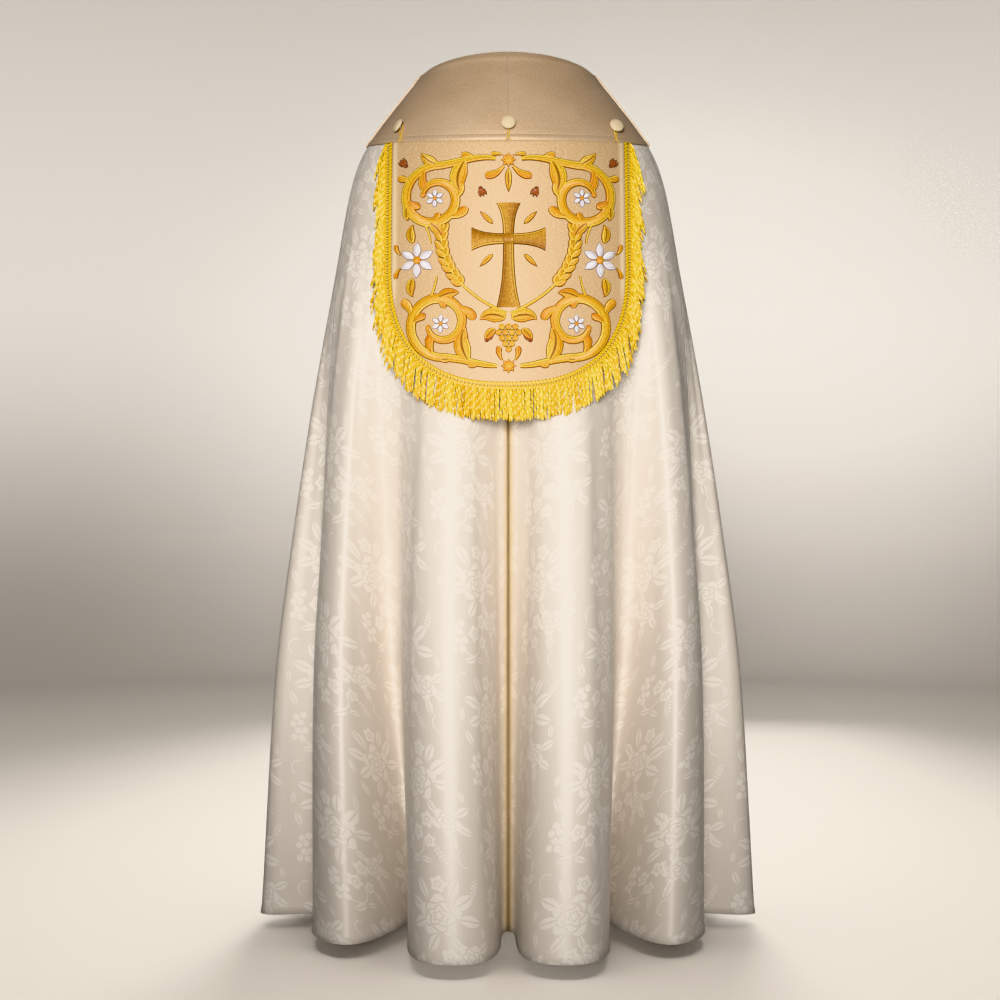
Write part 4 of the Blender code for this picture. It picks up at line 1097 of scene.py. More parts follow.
chance = random.Random(7)
fringe = bmesh.new()
fringe_tones = []
strands = []
for layer in range(STRAND_LAYERS):
    distance = STRAND_PITCH * (0.6 + 0.5 * layer)
    while distance < OUTLINE_LENGTH - STRAND_PITCH * 0.5:
        strands.append((distance, layer))
        distance += STRAND_PITCH * chance.uniform(*STRAND_SPACING)
share = np.arange(STRAND_SECTIONS + 1) / STRAND_SECTIONS
for distance, layer in strands:
    place, outward = (ends[0] for ends in on_outline(np.array([distance])))
    beside = abs(outward[0])
    fanning = chance.uniform(*(STRAND_FAN if chance.random() < STRAND_FAN_CHANCE else STRAND_WIDE_FAN))
    lean = outward[0] * fanning + chance.gauss(0.0, STRAND_SWAY) * (1.0 - 0.5 * beside)
    length = STRAND_LENGTH * chance.uniform(*STRAND_LENGTHS)
    lift = GIMP_IN + STRAND_OUT + LAYER_OUT * layer + CROSSING_OUT * beside * chance.random()
    wave = chance.uniform(-STRAND_WAVE, STRAND_WAVE)
    radius = STRAND_RADIUS * chance.uniform(*STRAND_RADII)
    # Painted shade: the inner layer of strands, under the outer one, is given a darker tone.
    tone_value = chance.gauss(STRAND_TONE, STRAND_TONE_SPREAD) + INNER_LAYER_PAINTED_SHADE * (layer == 0)
    tone_value = min(max(tone_value, 0.0), 1.0)
    first = len(fringe.verts)
    fringe.from_mesh(unit_data)
    fringe.verts.ensure_lookup_table()
    root = place + outward * STRAND_ROOT
    axis_x = root[0] + lean * length * (0.35 * share + 0.65 * np.sqrt(share)) + wave * np.sin(share * 5.0)
    axis_z = root[1] + outward[1] * 0.0015 - length * share
    axis = back_point(axis_x, axis_z, lift)
    for vert in fringe.verts[first:]:
        section = round(vert.co.z)
        turn = math.radians(STRAND_TWIST * section + distance * 9000.0) + math.atan2(vert.co.y, vert.co.x)
        size = radius * (1.0 if section < STRAND_SECTIONS else STRAND_TIP_SHARE)
        middle = axis[section]
        vert.co = (middle[0] + size * math.cos(turn), middle[1] + size * math.sin(turn), middle[2])
        fringe_tones.append(tone_value)
cut_layer = fringe.loops.layers.uv.new("cut")
for face in fringe.faces:
    for loop in face.loops:
        loop[cut_layer].uv = (loop.vert.co.z, loop.vert.co.x * 800.0)
bullion = add_piece("bullion_fringe", fringe, bullion_cord, 50.0)
paint(bullion, "tone", fringe_tones)
enter(bullion, "gold_fringe", "shield_fringe")
bpy.data.meshes.remove(unit_data)

# ================================================================ embroidery
# Machine satin stitch in rayon over padding, each band outlined in brown: a plain cross between two
# ears of wheat, grapes below it, and scrolling stems with leaves and white flowers at the sides.

STITCH_BASE = SHIELD_OUT + 0.0002
STITCH_EDGE = SHIELD_OUT + 0.0010
STITCH_PADDING = 0.0020
PADDED_HALF_WIDTH = 0.0050
BAND_LINES = 9
SATIN_PITCH = 0.0011
OUTLINE_WIDTH = 0.0016
GROOVE_PLACE = 2.6
GROOVE_DEPTH = 0.62
CROSS_CENTRE = -0.296
CROSS_ARM = 0.058
CROSS_FOOT = 0.110
CROSS_HALF_WIDTH = 0.0088
CROSS_SPLAY = 0.0105
CROSS_BOSS = 0.0105
CROSS_STATIONS = 30
STEM_HALF_WIDTH = 0.0082
STEM_TIP_SHARE = 0.4
STEM_LEAD_STATIONS = 20
STEM_SPIRAL_STATIONS = 76
SPIRAL_CLOSING = 0.62
STEM_KNOT = 0.0046
TWIG_STATIONS = 22
PETAL_ROOT = 0.22
PETAL_LENGTH = 0.80
PETAL_CURL = 8.0
PETAL_STATIONS = 14
BLOOM_HEART = 0.24
THREAD_LAYERS = ("warmth", "rib", "inset")

Stem = namedtuple("Stem", "name x height heading centre_x centre_height radius turns spin")
STEMS = (
    Stem("upper", 0.020, -0.166, 14.0, 0.116, -0.228, 0.053, 1.20, -1.0),
    Stem("lower", 0.018, -0.499, 2.0, 0.106, -0.431, 0.054, 1.20, 1.0),
)

# What springs from the stems: where along the stem, how far it turns off it, its length, how far it
# curls, its half width, and how orange it is at its root and tip.
Sprig = namedtuple("Sprig", "stem share turn_off length curl half_width root_warmth tip_warmth kind")
SPRIGS = (
    Sprig("upper", 0.07, 46.0, 0.023, -70.0, 0.0061, 0.1, 0.7, "plume"),
    Sprig("upper", 0.11, -46.0, 0.061, -76.0, 0.0138, 0.0, 0.6, "leaf"),
    Sprig("upper", 0.20, 30.0, 0.036, 30.0, 0.0091, 0.0, 0.3, "leaf"),
    Sprig("upper", 0.245, -46.0, 0.036, -60.0, 0.0086, 0.5, 1.0, "plume"),
    Sprig("upper", 0.30, 40.0, 0.025, 56.0, 0.0072, 0.1, 0.6, "plume"),
    Sprig("upper", 0.40, 30.0, 0.025, -34.0, 0.0072, 0.0, 0.2, "leaf"),
    Sprig("upper", 0.49, 48.0, 0.038, 16.0, 0.0026, 0.0, 0.0, "stalk"),
    Sprig("upper", 0.52, 26.0, 0.036, 46.0, 0.0099, 0.3, 0.9, "leaf"),
    Sprig("upper", 0.60, 40.0, 0.036, -78.0, 0.0088, 0.2, 0.8, "plume"),
    Sprig("upper", 0.70, 42.0, 0.028, -64.0, 0.0077, 0.0, 0.4, "plume"),
    Sprig("upper", 0.37, -30.0, 0.030, -70.0, 0.0075, 0.6, 1.0, "plume"),
    Sprig("upper", 0.52, -30.0, 0.023, -60.0, 0.0063, 0.3, 0.9, "plume"),
    Sprig("lower", 0.06, -34.0, 0.019, 50.0, 0.0052, 0.1, 0.6, "plume"),
    Sprig("lower", 0.10, 46.0, 0.059, 72.0, 0.0132, 0.0, 0.6, "leaf"),
    Sprig("lower", 0.17, -24.0, 0.023, 40.0, 0.0055, 0.0, 0.3, "leaf"),
    Sprig("lower", 0.235, 44.0, 0.036, 62.0, 0.0086, 0.5, 1.0, "plume"),
    Sprig("lower", 0.40, -34.0, 0.034, -50.0, 0.0086, 0.1, 0.7, "plume"),
    Sprig("lower", 0.49, -50.0, 0.040, -14.0, 0.0026, 0.0, 0.0, "stalk"),
    Sprig("lower", 0.53, -28.0, 0.036, 40.0, 0.0097, 0.3, 0.9, "leaf"),
    Sprig("lower", 0.62, -40.0, 0.036, 78.0, 0.0088, 0.2, 0.8, "plume"),
    Sprig("lower", 0.72, -40.0, 0.028, 60.0, 0.0077, 0.0, 0.4, "plume"),
    Sprig("lower", 0.37, 30.0, 0.030, 70.0, 0.0075, 0.6, 1.0, "plume"),
    Sprig("lower", 0.52, 30.0, 0.023, 60.0, 0.0063, 0.3, 0.9, "plume"),
)

Bloom = namedtuple("Bloom", "name x height reach petals turn half_share")
BLOOMS = (
    Bloom("side", 0.144, -0.328, 0.029, 6, 90.0, 0.235),
    Bloom("upper", 0.116, -0.228, 0.0155, 6, 90.0, 0.27),
    Bloom("lower", 0.106, -0.431, 0.0155, 6, 90.0, 0.27),
)

# Single bands beside the cross, under it and over it, then the straw of the wheat and the leaf on
# the middle line.
Spray = namedtuple("Spray", "x height heading length curl half_width root_warmth tip_warmth kind")
SPRAYS = (
    Spray(0.004, -0.424, 26.0, 0.044, -76.0, 0.0120, 0.0, 0.6, "leaf"),
    Spray(0.020, -0.440, -34.0, 0.026, -40.0, 0.0070, 0.2, 0.9, "leaf"),
    Spray(0.010, -0.490, 58.0, 0.024, 62.0, 0.0057, 0.5, 1.0, "plume"),
    Spray(0.007, -0.178, -50.0, 0.036, 66.0, 0.0077, 0.3, 0.9, "plume"),
    Spray(0.010, -0.160, 22.0, 0.018, -54.0, 0.0045, 0.0, 0.5, "plume"),
    Spray(0.150, -0.300, 66.0, 0.032, 64.0, 0.0076, 0.0, 0.6, "leaf"),
    Spray(0.150, -0.357, -66.0, 0.032, -64.0, 0.0076, 0.0, 0.6, "leaf"),
    Spray(0.170, -0.318, 40.0, 0.020, 70.0, 0.0046, 0.4, 1.0, "plume"),
    Spray(0.170, -0.340, -40.0, 0.020, -70.0, 0.0046, 0.4, 1.0, "plume"),
    Spray(0.024, -0.272, 45.0, 0.030, 0.0, 0.0044, 0.2, 0.8, "leaf"),
    Spray(0.024, -0.320, -45.0, 0.030, 0.0, 0.0044, 0.2, 0.8, "leaf"),
)
STRAW = Spray(0.003, -0.416, 26.0, 0.182, 72.0, 0.0030, 0.0, 0.0, "stalk")
MIDDLE_LEAF = Spray(0.0, -0.181, -90.0, 0.040, 0.0, 0.0058, 0.0, 0.6, "leaf")

# Closed russet buds, each of three petals: its place, and the way it points.
Bud = namedtuple("Bud", "x height turn")
BUDS = (Bud(0.163, -0.172, 48.0), Bud(0.044, -0.214, -112.0), Bud(0.034, -0.458, 118.0))
BUD_LENGTH = 0.0150
BUD_HALF_WIDTH = 0.0034
BUD_SPREAD = 32.0
BUD_KNOT = 0.0036

WHEAT_FIRST_SHARE = 0.46
WHEAT_PAIRS = 8
GRAIN_LENGTH = 0.0215
GRAIN_HALF_WIDTH = 0.0056
GRAIN_TURN_OFF = 34.0
GRAIN_CURL = 0.7
GRAIN_STATIONS = 12
STRAW_STATIONS = 90
GRAPE_ROWS = (3, 4, 3, 2, 1)
GRAPE_RADIUS = 0.0052
GRAPE_PITCH = 0.0104
GRAPE_TOP = -0.4370
GRAPE_ROW_SHARE = 0.86
STAR_HEIGHTS = (-0.168, -0.499)
STAR_PETALS = 8
STAR_REACH = 0.0125
STAR_HALF_WIDTH = 0.0034
STAR_STATIONS = 10
STAR_KNOT = 0.0038


def thread_shader(name, pale, deep, warm_pale, warm_deep, outline, filling, filled):
    """Satin stitch: glossy threads across a band, brown at its edges and with a deeper filling."""
    thread = Shader(name)
    place = thread.cut()
    along, across, _ = thread.parts(place)
    uneven = thread.noise(thread.scale(place, 900.0, 0.8, 0.0))
    # Painted light: the colour is lighter towards one side across each band, mixed with random unevenness
    # along the threads.
    lit = thread.ramp(thread.math("MULTIPLY_ADD", across, 0.34, uneven), 0.22, 0.78)
    cool = thread.mix(lit, deep, pale)
    warm = thread.mix(lit, warm_deep, warm_pale)
    satin = thread.mix(thread.attribute("warmth"), cool, warm)
    inset = thread.attribute("inset")
    edge = thread.ramp(inset, 1.15, 0.75)
    midrib = thread.ramp(thread.math("ABSOLUTE", across), 0.20, 0.08)
    from_groove = thread.math("ABSOLUTE", thread.math("SUBTRACT", inset, GROOVE_PLACE))
    groove = thread.ramp(from_groove, 0.55, 0.20, 0.0, GROOVE_DEPTH)
    dark = thread.fold("MAXIMUM", (edge, groove, thread.math("MULTIPLY", midrib, thread.attribute("rib"))))
    mesh = thread.noise(thread.scale(place, 650.0, 5.0, 0.0), detail=1.0)
    filled_satin = thread.mix(thread.ramp(mesh, 0.35, 0.65), filling, satin)
    cored = thread.mix(thread.ramp(inset, 1.75, 2.2, 0.0, filled), satin, filled_satin)
    threads = thread.math("SINE", thread.math("MULTIPLY", along, math.tau / SATIN_PITCH))
    thread.finish(
        {
            "Base Color": thread.mix(dark, cored, outline),
            "Roughness": 0.36,
            "Metallic": 0.10,
            "Normal": thread.bump(thread.math("MULTIPLY_ADD", dark, -1.6, threads), 0.45, 0.0003),
            "Sheen Weight": 0.1,
        }
    )
    return thread


# Rayon thread is brighter than the lame. Its threads are 0.4 mm wide and are drawn 1.1 mm wide. Each
# has its pale and deep tone for the painted lit and shaded sides of its bands, the same where it is warm,
# then its outline and filling.
gold_thread = thread_shader(
    "gold_rayon_satin_stitch", "FFEA60", "ECB426", "FFB838", "E07814", "845210", "BF8020", 0.8
)
old_gold_thread = thread_shader(
    "old_gold_rayon_satin_stitch", "E8BC54", "A8701C", "DC9C2E", "9C5C18", "5A320C", "8E5E1C", 0.85
)
white_thread = thread_shader(
    "white_rayon_satin_stitch", "FFFFFF", "E6E0E6", "FFFFFF", "D8D2D8", "9C8E94", "CFC8D0", 0.6
)
russet_thread = thread_shader(
    "russet_rayon_satin_stitch", "C87838", "8A4418", "B85C24", "6E2E10", "4A200C", "7A3A16", 0.4
)


def curl_path(x, height, heading, length, curl, stations):
    """Places (x, height) along a curve that leaves at a heading and curls tighter towards its tip."""
    share = np.linspace(0.0, 1.0, stations)
    bend = np.radians(heading + curl * share**1.6)
    steps = np.stack((np.cos(bend), np.sin(bend)), axis=-1)
    walked = np.cumsum((steps[1:] + steps[:-1]) / 2, axis=0) * length / (stations - 1)
    return np.concatenate(([(x, height)], walked + (x, height)))


def width_along(kind, stations):
    """Share of its full width that a band has along its length."""
    share = np.linspace(0.0, 1.0, stations)
    if kind in ("leaf", "grain"):
        return np.maximum(np.sin(math.pi * share**0.80), 0.0) ** 0.85 * 0.97 + 0.03
    if kind == "plume":
        return (0.30 + 0.70 * np.sin(math.pi / 2 * share**1.2)) * np.sqrt(1.0 - share**7) + 0.02
    if kind == "petal":
        return (0.36 + 0.64 * np.sin(math.pi * share**0.9)) * (1.0 - share**5) + 0.02
    return 1.0 - 0.45 * share


def start_embroidery():
    """Empty cloth of (x, height, out) places with the layers that the thread shaders read."""
    cloth = bmesh.new()
    cloth.loops.layers.uv.new("cut")
    for name in THREAD_LAYERS:
        cloth.verts.layers.float.new(name)
    return cloth


def write_cut(cloth, flat):
    """Give the corners of the faces round some verts the flat places of those verts."""
    cut_layer = cloth.loops.layers.uv["cut"]
    for face in {face for vert in flat for face in vert.link_faces}:
        for loop in face.loops:
            loop[cut_layer].uv = flat[loop.vert]


def stitch_band(cloth, path, half_widths, warmth=(0.0, 0.0), rib=0.0):
    """Closed padded band along a path, satin stitched across it."""
    stations = len(path)
    grid = bmesh.ops.create_grid(cloth, x_segments=stations - 1, y_segments=BAND_LINES - 1, size=1.0)["verts"]
    base_faces = list(dict.fromkeys(face for vert in grid for face in vert.link_faces))
    raised = bmesh.ops.extrude_face_region(cloth, geom=base_faces, use_keep_orig=True)["geom"]
    top = {item for item in raised if isinstance(item, bmesh.types.BMVert)}
    lengths = lengths_along(path)
    run = unit(np.gradient(path, axis=0))
    warmth_layer, rib_layer, inset_layer = (cloth.verts.layers.float[name] for name in THREAD_LAYERS)
    flat = {}
    for vert in list(grid) + list(top):
        station = round((vert.co.x + 1.0) / 2.0 * (stations - 1))
        across = vert.co.y
        half = half_widths[station]
        aside = across * half
        padding = STITCH_PADDING * min(half / PADDED_HALF_WIDTH, 1.0)
        out = STITCH_EDGE + padding * math.sqrt(1.0 - across * across) if vert in top else STITCH_BASE
        flat[vert] = (lengths[station], across)
        share = lengths[station] / lengths[-1]
        vert[warmth_layer] = warmth[0] + (warmth[1] - warmth[0]) * share
        vert[rib_layer] = rib * soft_step(1.0, 0.85, share) * soft_step(0.0, 0.1, share)
        vert[inset_layer] = half * (1.0 - abs(across)) / min(OUTLINE_WIDTH, 0.36 * max(half_widths))
        x, height = path[station] + (-run[station][1] * aside, run[station][0] * aside)
        vert.co = (x, height, out)
    write_cut(cloth, flat)


def stitch_spray(cloth, spray, stations=TWIG_STATIONS):
    """Band along the curve of a spray, with a midrib if it is a leaf; its path is returned."""
    path = curl_path(spray.x, spray.height, spray.heading, spray.length, spray.curl, stations)
    widths = spray.half_width * width_along(spray.kind, stations)
    stitch_band(cloth, path, widths, (spray.root_warmth, spray.tip_warmth), float(spray.kind == "leaf"))
    return path


def stitch_berry(cloth, x, height, radius, warmth):
    """Round padded knot of thread."""
    ball = bmesh.ops.create_icosphere(cloth, subdivisions=3, radius=1.0)["verts"]
    warmth_layer, _, inset_layer = (cloth.verts.layers.float[name] for name in THREAD_LAYERS)
    flat = {}
    for vert in ball:
        flat[vert] = (x + vert.co.x * radius, vert.co.x * 0.5)
        vert[warmth_layer] = warmth
        vert[inset_layer] = radius * (1.0 - math.hypot(vert.co.x, vert.co.y)) / (OUTLINE_WIDTH * 0.55)
        lift = STITCH_EDGE if vert.co.z > 0.0 else STITCH_BASE + 0.0004
        out = lift + max(vert.co.z, -0.1) * radius * 0.48
        vert.co = (x + vert.co.x * radius, height + vert.co.y * radius, out)
    write_cut(cloth, flat)


def sew_to_shield(name, cloth, side, thread, slot, *nodes):
    """Lay finished embroidery on the right half of the shield, or mirrored on the left."""
    places = np.array([vert.co for vert in cloth.verts])
    laid = back_point(places[:, 0] * side, places[:, 1], places[:, 2])
    for vert, place in zip(cloth.verts, laid):
        vert.co = place
    bmesh.ops.recalc_face_normals(cloth, faces=cloth.faces[:])
    enter(add_piece(name, cloth, thread, 50.0), slot, *nodes)


def stem_path(stem):
    """Places (x, height) along a stem: a lead-in curve, then a closing spiral."""
    top = -stem.spin * 90.0
    join = np.array((stem.centre_x, stem.centre_height - stem.spin * stem.radius))
    start = np.array((stem.x, stem.height))
    pull = np.linalg.norm(join - start)
    heading = math.radians(stem.heading)
    share = np.linspace(0.0, 1.0, STEM_LEAD_STATIONS, endpoint=False)[:, None]
    leave = np.array((math.cos(heading), math.sin(heading))) * pull
    lead = blend_ends(share, start, leave, join, np.array((pull, 0.0)))
    share = np.linspace(0.0, 1.0, STEM_SPIRAL_STATIONS)
    turn = np.radians(top + stem.spin * 360.0 * stem.turns * share)
    reach = stem.radius * (1.0 - SPIRAL_CLOSING * share)
    spiral = np.stack((np.cos(turn) * reach, np.sin(turn) * reach), axis=-1)
    return np.concatenate((lead, spiral + (stem.centre_x, stem.centre_height)))


def heading_at(path, station):
    """Heading of a path at one of its stations, in degrees."""
    run = path[station + 1] - path[station - 1]
    return math.degrees(math.atan2(run[1], run[0]))


for side, side_name in SIDES:
    for stem in STEMS:
        scroll = start_embroidery()
        path = stem_path(stem)
        for sprig in SPRIGS:
            if sprig.stem == stem.name:
                station = round(sprig.share * (len(path) - 1))
                heading = heading_at(path, station) + sprig.turn_off
                stitch_spray(scroll, Spray(*path[station], heading, *sprig[3:]))
        swell = np.sqrt(np.maximum(np.sin(math.pi * np.linspace(0.0, 1.0, len(path))), 0.0))
        widths = STEM_HALF_WIDTH * (STEM_TIP_SHARE + (1.0 - STEM_TIP_SHARE) * swell)
        stitch_band(scroll, path, widths, (0.0, 0.45))
        stitch_berry(scroll, *path[-1], STEM_KNOT, 0.9)
        node = f"scroll_{stem.name}_{side_name}"
        sew_to_shield("stitched_" + node, scroll, side, gold_thread, "gold_stitch", node)
    for bloom in BLOOMS:
        flower = start_embroidery()
        for petal in range(bloom.petals):
            turn = bloom.turn + petal * 360.0 / bloom.petals
            x = bloom.x + PETAL_ROOT * bloom.reach * math.cos(math.radians(turn))
            height = bloom.height + PETAL_ROOT * bloom.reach * math.sin(math.radians(turn))
            size = (bloom.reach * PETAL_LENGTH, PETAL_CURL, bloom.reach * bloom.half_share)
            stitch_spray(flower, Spray(x, height, turn, *size, 0.0, 0.0, "petal"), PETAL_STATIONS)
        node = f"flower_{bloom.name}_{side_name}"
        sew_to_shield("stitched_" + node, flower, side, white_thread, "white_stitch", node)
    sprays = start_embroidery()
    for spray in SPRAYS:
        stitch_spray(sprays, spray)
    straw = stitch_spray(sprays, STRAW, STRAW_STATIONS)
    for pair in range(WHEAT_PAIRS):
        share = WHEAT_FIRST_SHARE + (0.97 - WHEAT_FIRST_SHARE) * pair / (WHEAT_PAIRS - 1)
        station = min(round(share * (len(straw) - 1)), len(straw) - 2)
        heading = heading_at(straw, station)
        for turn_off in (GRAIN_TURN_OFF, -GRAIN_TURN_OFF, 0.0)[: 2 if pair < WHEAT_PAIRS - 1 else 3]:
            size = (GRAIN_LENGTH, -turn_off * GRAIN_CURL, GRAIN_HALF_WIDTH)
            grain = Spray(*straw[station], heading + turn_off, *size, 0.1, 0.5, "grain")
            stitch_spray(sprays, grain, GRAIN_STATIONS)
    for bloom in BLOOMS:
        stitch_berry(sprays, bloom.x, bloom.height, bloom.reach * BLOOM_HEART, 0.8)
    sew_to_shield("stitched_sprays_" + side_name, sprays, side, gold_thread, "gold_stitch")
    buds = start_embroidery()
    for bud in BUDS:
        for turn_off in (BUD_SPREAD, -BUD_SPREAD, 0.0):
            size = (BUD_LENGTH, -turn_off, BUD_HALF_WIDTH)
            petal = Spray(bud.x, bud.height, bud.turn + turn_off, *size, 0.0, 0.8, "grain")
            stitch_spray(buds, petal, GRAIN_STATIONS)
        stitch_berry(buds, bud.x, bud.height, BUD_KNOT, 0.9)
    sew_to_shield("stitched_buds_" + side_name, buds, side, russet_thread, "gold_stitch")

middle = start_embroidery()
for row, count in enumerate(GRAPE_ROWS):
    for place in range(count):
        x = (place - (count - 1) / 2) * GRAPE_PITCH
        warmth = 0.25 + 0.15 * ((row + place) % 3)
        stitch_berry(middle, x, GRAPE_TOP - row * GRAPE_PITCH * GRAPE_ROW_SHARE, GRAPE_RADIUS, warmth)
for centre in STAR_HEIGHTS:
    for petal in range(STAR_PETALS):
        heading = petal * 360.0 / STAR_PETALS
        ray = Spray(0.0, centre, heading, STAR_REACH, 0.0, STAR_HALF_WIDTH, 0.5, 0.9, "petal")
        stitch_spray(middle, ray, STAR_STATIONS)
    stitch_berry(middle, 0.0, centre, STAR_KNOT, 0.0)
stitch_spray(middle, MIDDLE_LEAF)
sew_to_shield("stitched_grapes", middle, 1, gold_thread, "gold_stitch")

cross = start_embroidery()
for heading, length in ((0.0, CROSS_ARM), (180.0, CROSS_ARM), (90.0, CROSS_ARM), (-90.0, CROSS_FOOT)):
    arm = curl_path(0.0, CROSS_CENTRE, heading, length, 0.0, CROSS_STATIONS)
    share = np.linspace(0.0, 1.0, CROSS_STATIONS)
    stitch_band(cross, arm, CROSS_HALF_WIDTH + CROSS_SPLAY * share**3, (0.0, 0.35))
stitch_berry(cross, 0.0, CROSS_CENTRE, CROSS_BOSS, 0.6)
sew_to_shield("stitched_cross", cross, 1, old_gold_thread, "gold_stitch", "shield_cross")

# ================================================================ morse
# The plain strap of the same lame that holds the fronts together on the chest. It is doubled, topped
# with a row of stitches along its edges, and hooked to the band on each side.

MORSE_TOP = -0.205
MORSE_BOTTOM = -0.275
MORSE_REACH = 0.085
MORSE_OUT = BAND_OUT + 0.0027
MORSE_THICKNESS = 0.0022
MORSE_ROWS = 24
MORSE_HALF_COLUMNS = 36
MORSE_EDGE_LIFT = 0.0008
MORSE_EDGE_WIDTH = 0.0060

morse_heights = np.linspace(MORSE_TOP, MORSE_BOTTOM, MORSE_ROWS + 1)
edge_aside = cloak_point(np.full_like(morse_heights, FRONT_ANGLE), morse_heights)[:, 0]
reaches = zip(morse_heights, MORSE_REACH - edge_aside)
morse_tails = np.array([angle_from_front(level, reach) for level, reach in reaches])
morse_shares = np.linspace(0.0, 1.0, MORSE_HALF_COLUMNS)
morse_angles = morse_tails + (FRONT_ANGLE - morse_tails) * morse_shares
morse_levels = np.broadcast_to(morse_heights[:, None], morse_angles.shape)
morse_half = cloak_point(morse_angles, morse_levels)
from_edge = np.minimum(MORSE_TOP - morse_levels, morse_levels - MORSE_BOTTOM)
padded = MORSE_EDGE_LIFT * soft_step(MORSE_EDGE_WIDTH, 0.0, from_edge)
morse_half = morse_half + grid_normals(morse_half) * (MORSE_OUT + padded)[..., None]
morse_points = np.concatenate((morse_half, morse_half[:, ::-1] * (-1.0, 1.0, 1.0)), axis=1)
morse_cut = flat_cut(morse_points)
morse_cut[..., 1] = np.concatenate((from_edge, from_edge[:, ::-1]), axis=1)
morse = lay_cloth("lame_morse", morse_points, morse_cut, 1, MORSE_THICKNESS, lame, BAND_ROUNDING)
enter(morse, "gold_lame", "morse")

# ================================================================ covered buttons
# Three button moulds covered in cream lame, drawn tight over the dome and gathered under the rim. Each
# stands on a thread shank, and the two side ones have both swung a little to the left on theirs.

BUTTON_SPREAD = 0.174
BUTTON_MIDDLE_HEIGHT = -0.107
BUTTON_SIDE_HEIGHT = -0.103
BUTTON_TILT = 20.0
BUTTON_RADIUS = 0.0120
BUTTON_DOME = 0.0050
BUTTON_RIM = 0.0016
BUTTON_BACK_SHARE = 0.86
BUTTON_SIDES = 56
BUTTON_DOME_STEPS = 14
BUTTON_ROLL = 0.0007
BUTTON_ROLL_STEPS = 4
BUTTON_THREAD = 0.0010
SHANK_RADIUS = 0.0026
SHANK_LENGTH = 0.0045
SHANK_WRAPS = 3

# The covering is stretched, so its cream silk shows between the metal threads as a fine canvas weave.
# Its threads are 0.3 mm apart and are drawn 1.0 mm apart.
button_cloth = Shader("cream_lame_stretched")
button_place = button_cloth.place()
weave = {"Vector": button_place, "Scale": WAVE_LENGTH / BUTTON_THREAD, "Distortion": 0.6}
weave_threads = [button_cloth.add("TexWave", weave, bands_direction=axis).outputs["Fac"] for axis in "XZ"]
canvas = button_cloth.math("MULTIPLY", *weave_threads)
canvas = button_cloth.math("MULTIPLY_ADD", canvas, 0.5, button_cloth.noise(button_place, 900.0))
button_cloth.finish(
    {
        "Base Color": button_cloth.mix(button_cloth.ramp(canvas, 0.35, 0.95), "BFA883", "E8D7B8"),
        "Roughness": 0.55,
        "Normal": button_cloth.bump(canvas, 0.5, 0.0003),
        "Sheen Weight": 0.2,
    }
)


def surface_frame(x, height):
    """Axes at a point of the back: across the cloth, up along it, and out of it."""
    out = Vector(back_point(x, height, 1.0) - back_point(x, height, 0.0)).normalized()
    across = Vector((0.0, 0.0, 1.0)).cross(out).normalized()
    return Matrix((across, out.cross(across), out)).transposed()


def button_profile():
    """Half section of a button and its shank: distances from the axis and above the cloth."""
    profile = [(0.0, 0.0), (SHANK_RADIUS * 0.92, 0.0)]
    for wrap in range(SHANK_WRAPS):
        low = SHANK_LENGTH * wrap / SHANK_WRAPS
        high = SHANK_LENGTH * (wrap + 1) / SHANK_WRAPS
        profile += [(SHANK_RADIUS, low + (high - low) * 0.3), (SHANK_RADIUS, low + (high - low) * 0.7)]
        profile.append((SHANK_RADIUS * 0.84, high))
    back_edge = BUTTON_RADIUS * BUTTON_BACK_SHARE
    profile += [(SHANK_RADIUS * 1.1, SHANK_LENGTH), (back_edge * 0.9, SHANK_LENGTH)]
    profile.append((back_edge, SHANK_LENGTH + 0.0002))
    rim_height = SHANK_LENGTH + BUTTON_RIM
    for step in range(1, BUTTON_ROLL_STEPS + 1):
        turn = math.radians(-60.0 + 60.0 * step / BUTTON_ROLL_STEPS)
        inset = BUTTON_ROLL * (1.0 - math.cos(turn)) * 2.0
        profile.append((BUTTON_RADIUS - inset, rim_height + BUTTON_RIM * 0.7 * math.sin(turn)))
    for step in range(1, BUTTON_DOME_STEPS + 1):
        turn = math.radians(90.0 * step / BUTTON_DOME_STEPS)
        profile.append((BUTTON_RADIUS * math.cos(turn), rim_height + BUTTON_DOME * math.sin(turn)))
    return profile


Closure = namedtuple("Closure", "name x height tilt")
CLOSURES = (
    Closure("left", -BUTTON_SPREAD, BUTTON_SIDE_HEIGHT, -BUTTON_TILT),
    Closure("middle", 0.0, BUTTON_MIDDLE_HEIGHT, 0.0),
    Closure("right", BUTTON_SPREAD, BUTTON_SIDE_HEIGHT, -BUTTON_TILT),
)
for closure in CLOSURES:
    button = spin_profile(button_profile(), BUTTON_SIDES, 0.00001)
    tilt = math.radians(closure.tilt)
    seat = back_point(closure.x, closure.height, BAND_OUT + SEAM_GAP + SHANK_RADIUS * abs(math.sin(tilt)))
    stand = surface_frame(closure.x, closure.height).to_4x4() @ Matrix.Rotation(tilt, 4, "Y")
    bmesh.ops.transform(button, matrix=Matrix.Translation(seat) @ stand, verts=button.verts[:])
    bmesh.ops.recalc_face_normals(button, faces=button.faces[:])
    button_piece = add_piece("covered_button_" + closure.name, button, button_cloth, 50.0)
    enter(button_piece, "covered_button", "button_" + closure.name)

# ================================================================ button loops
# Gold cord loops sewn into the shield's top edge: two plies twisted together, which run up one side of
# the shank, round it and down the other side.

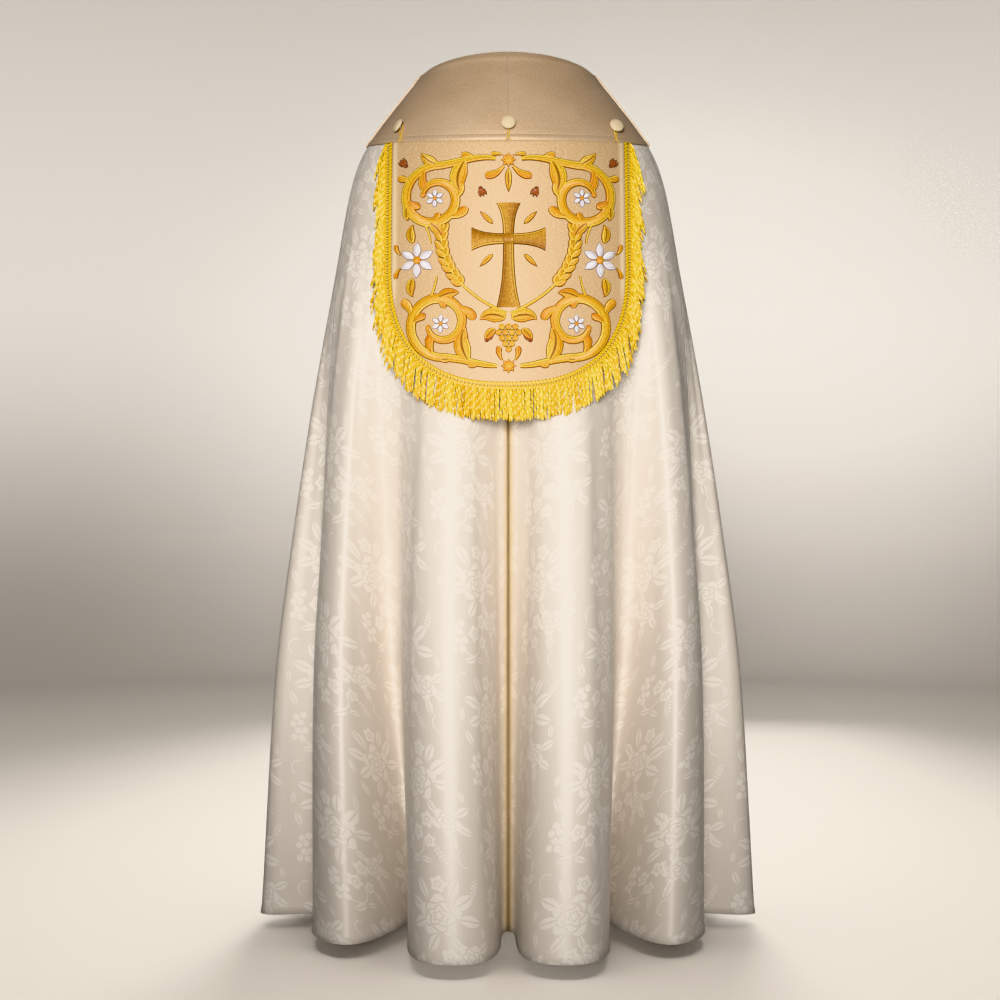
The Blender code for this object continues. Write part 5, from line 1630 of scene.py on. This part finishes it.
LOOP_CORD_RADIUS = 0.0010
LOOP_SLACK = 0.0010
LOOP_FOOT_SPREAD = 0.0045
LOOP_KNEE_SHARES = (0.74, 0.46)
LOOP_KNEE_SPREAD = 1.15 * LOOP_CORD_RADIUS
LOOP_BENDS = 8
LOOP_SMOOTHINGS = 12
PLY_RADIUS = 0.00056
PLY_TWIST_LENGTH = 0.0040
PLY_STATIONS = 150
SHIELD_MIDDLE_OUT = SHIELD_OUT - SHIELD_THICKNESS / 2

# Rayon filament over a core; the plies are darker where they meet.
loop_cord = Shader("gold_twisted_cord")
cord_colour = loop_cord.mix(loop_cord.noise(loop_cord.place(), 1600.0), "B98410", "F6D860")
loop_cord.finish({"Base Color": cord_colour, "Roughness": 0.38, "Metallic": 0.2})


def loop_route(closure):
    """Smooth middle line of a loop: foot, knee, half turn round the shank, knee and foot."""
    turn_radius = SHANK_RADIUS + LOOP_SLACK + LOOP_CORD_RADIUS
    over = BAND_OUT + SEAM_GAP + LOOP_CORD_RADIUS
    seat = Vector(back_point(closure.x, closure.height, 0.0))
    axes = surface_frame(closure.x, closure.height)
    bend = []
    for step in range(LOOP_BENDS + 1):
        turn = math.radians(180.0 * step / LOOP_BENDS)
        bend.append(seat + axes @ Vector((turn_radius * math.cos(turn), turn_radius * math.sin(turn), over)))
    legs = []
    for aside in (1.0, -1.0):
        foot_x = closure.x + aside * LOOP_FOOT_SPREAD
        top = shield_top_height(foot_x)
        leg = [back_point(foot_x, top + SEAM_GAP + 0.6 * LOOP_CORD_RADIUS, SHIELD_MIDDLE_OUT)]
        for share in LOOP_KNEE_SHARES:
            knee_height = closure.height + (top - closure.height) * share
            leg.append(back_point(closure.x + aside * LOOP_KNEE_SPREAD, knee_height, over))
        legs.append(leg)
    route = np.array(legs[0] + bend + legs[1][::-1])
    lengths = lengths_along(route)
    at = np.linspace(0.0, lengths[-1], PLY_STATIONS)
    smooth = np.stack([np.interp(at, lengths, route[:, axis]) for axis in range(3)], axis=-1)
    for _ in range(LOOP_SMOOTHINGS):
        smooth[1:-1] = (smooth[:-2] + 2 * smooth[1:-1] + smooth[2:]) / 4
    return at, smooth, np.array(axes.col[2])


for closure in CLOSURES:
    at, route, outward = loop_route(closure)
    run = unit(np.gradient(route, axis=0))
    aside = unit(np.cross(run, outward))
    above = np.cross(aside, run)
    cord_path = bpy.data.curves.new("twisted_loop_" + closure.name, "CURVE")
    cord_path.dimensions = "3D"
    cord_path.bevel_depth = PLY_RADIUS
    cord_path.bevel_resolution = 2
    cord_path.use_fill_caps = True
    for ply in range(2):
        turn = math.tau * (at / PLY_TWIST_LENGTH + ply / 2)
        offset = aside * np.cos(turn)[:, None] + above * np.sin(turn)[:, None]
        strand = route + offset * (LOOP_CORD_RADIUS - PLY_RADIUS)
        spline = cord_path.splines.new("POLY")
        spline.points.add(len(strand) - 1)
        for point, place in zip(spline.points, strand):
            point.co = (*place, 1.0)
    cord_path.materials.append(loop_cord.material)
    loop_piece = bpy.data.objects.new("twisted_loop_" + closure.name, cord_path)
    bpy.context.scene.collection.objects.link(loop_piece)
    enter(loop_piece, "gold_cord", "loop_" + closure.name)

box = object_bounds()
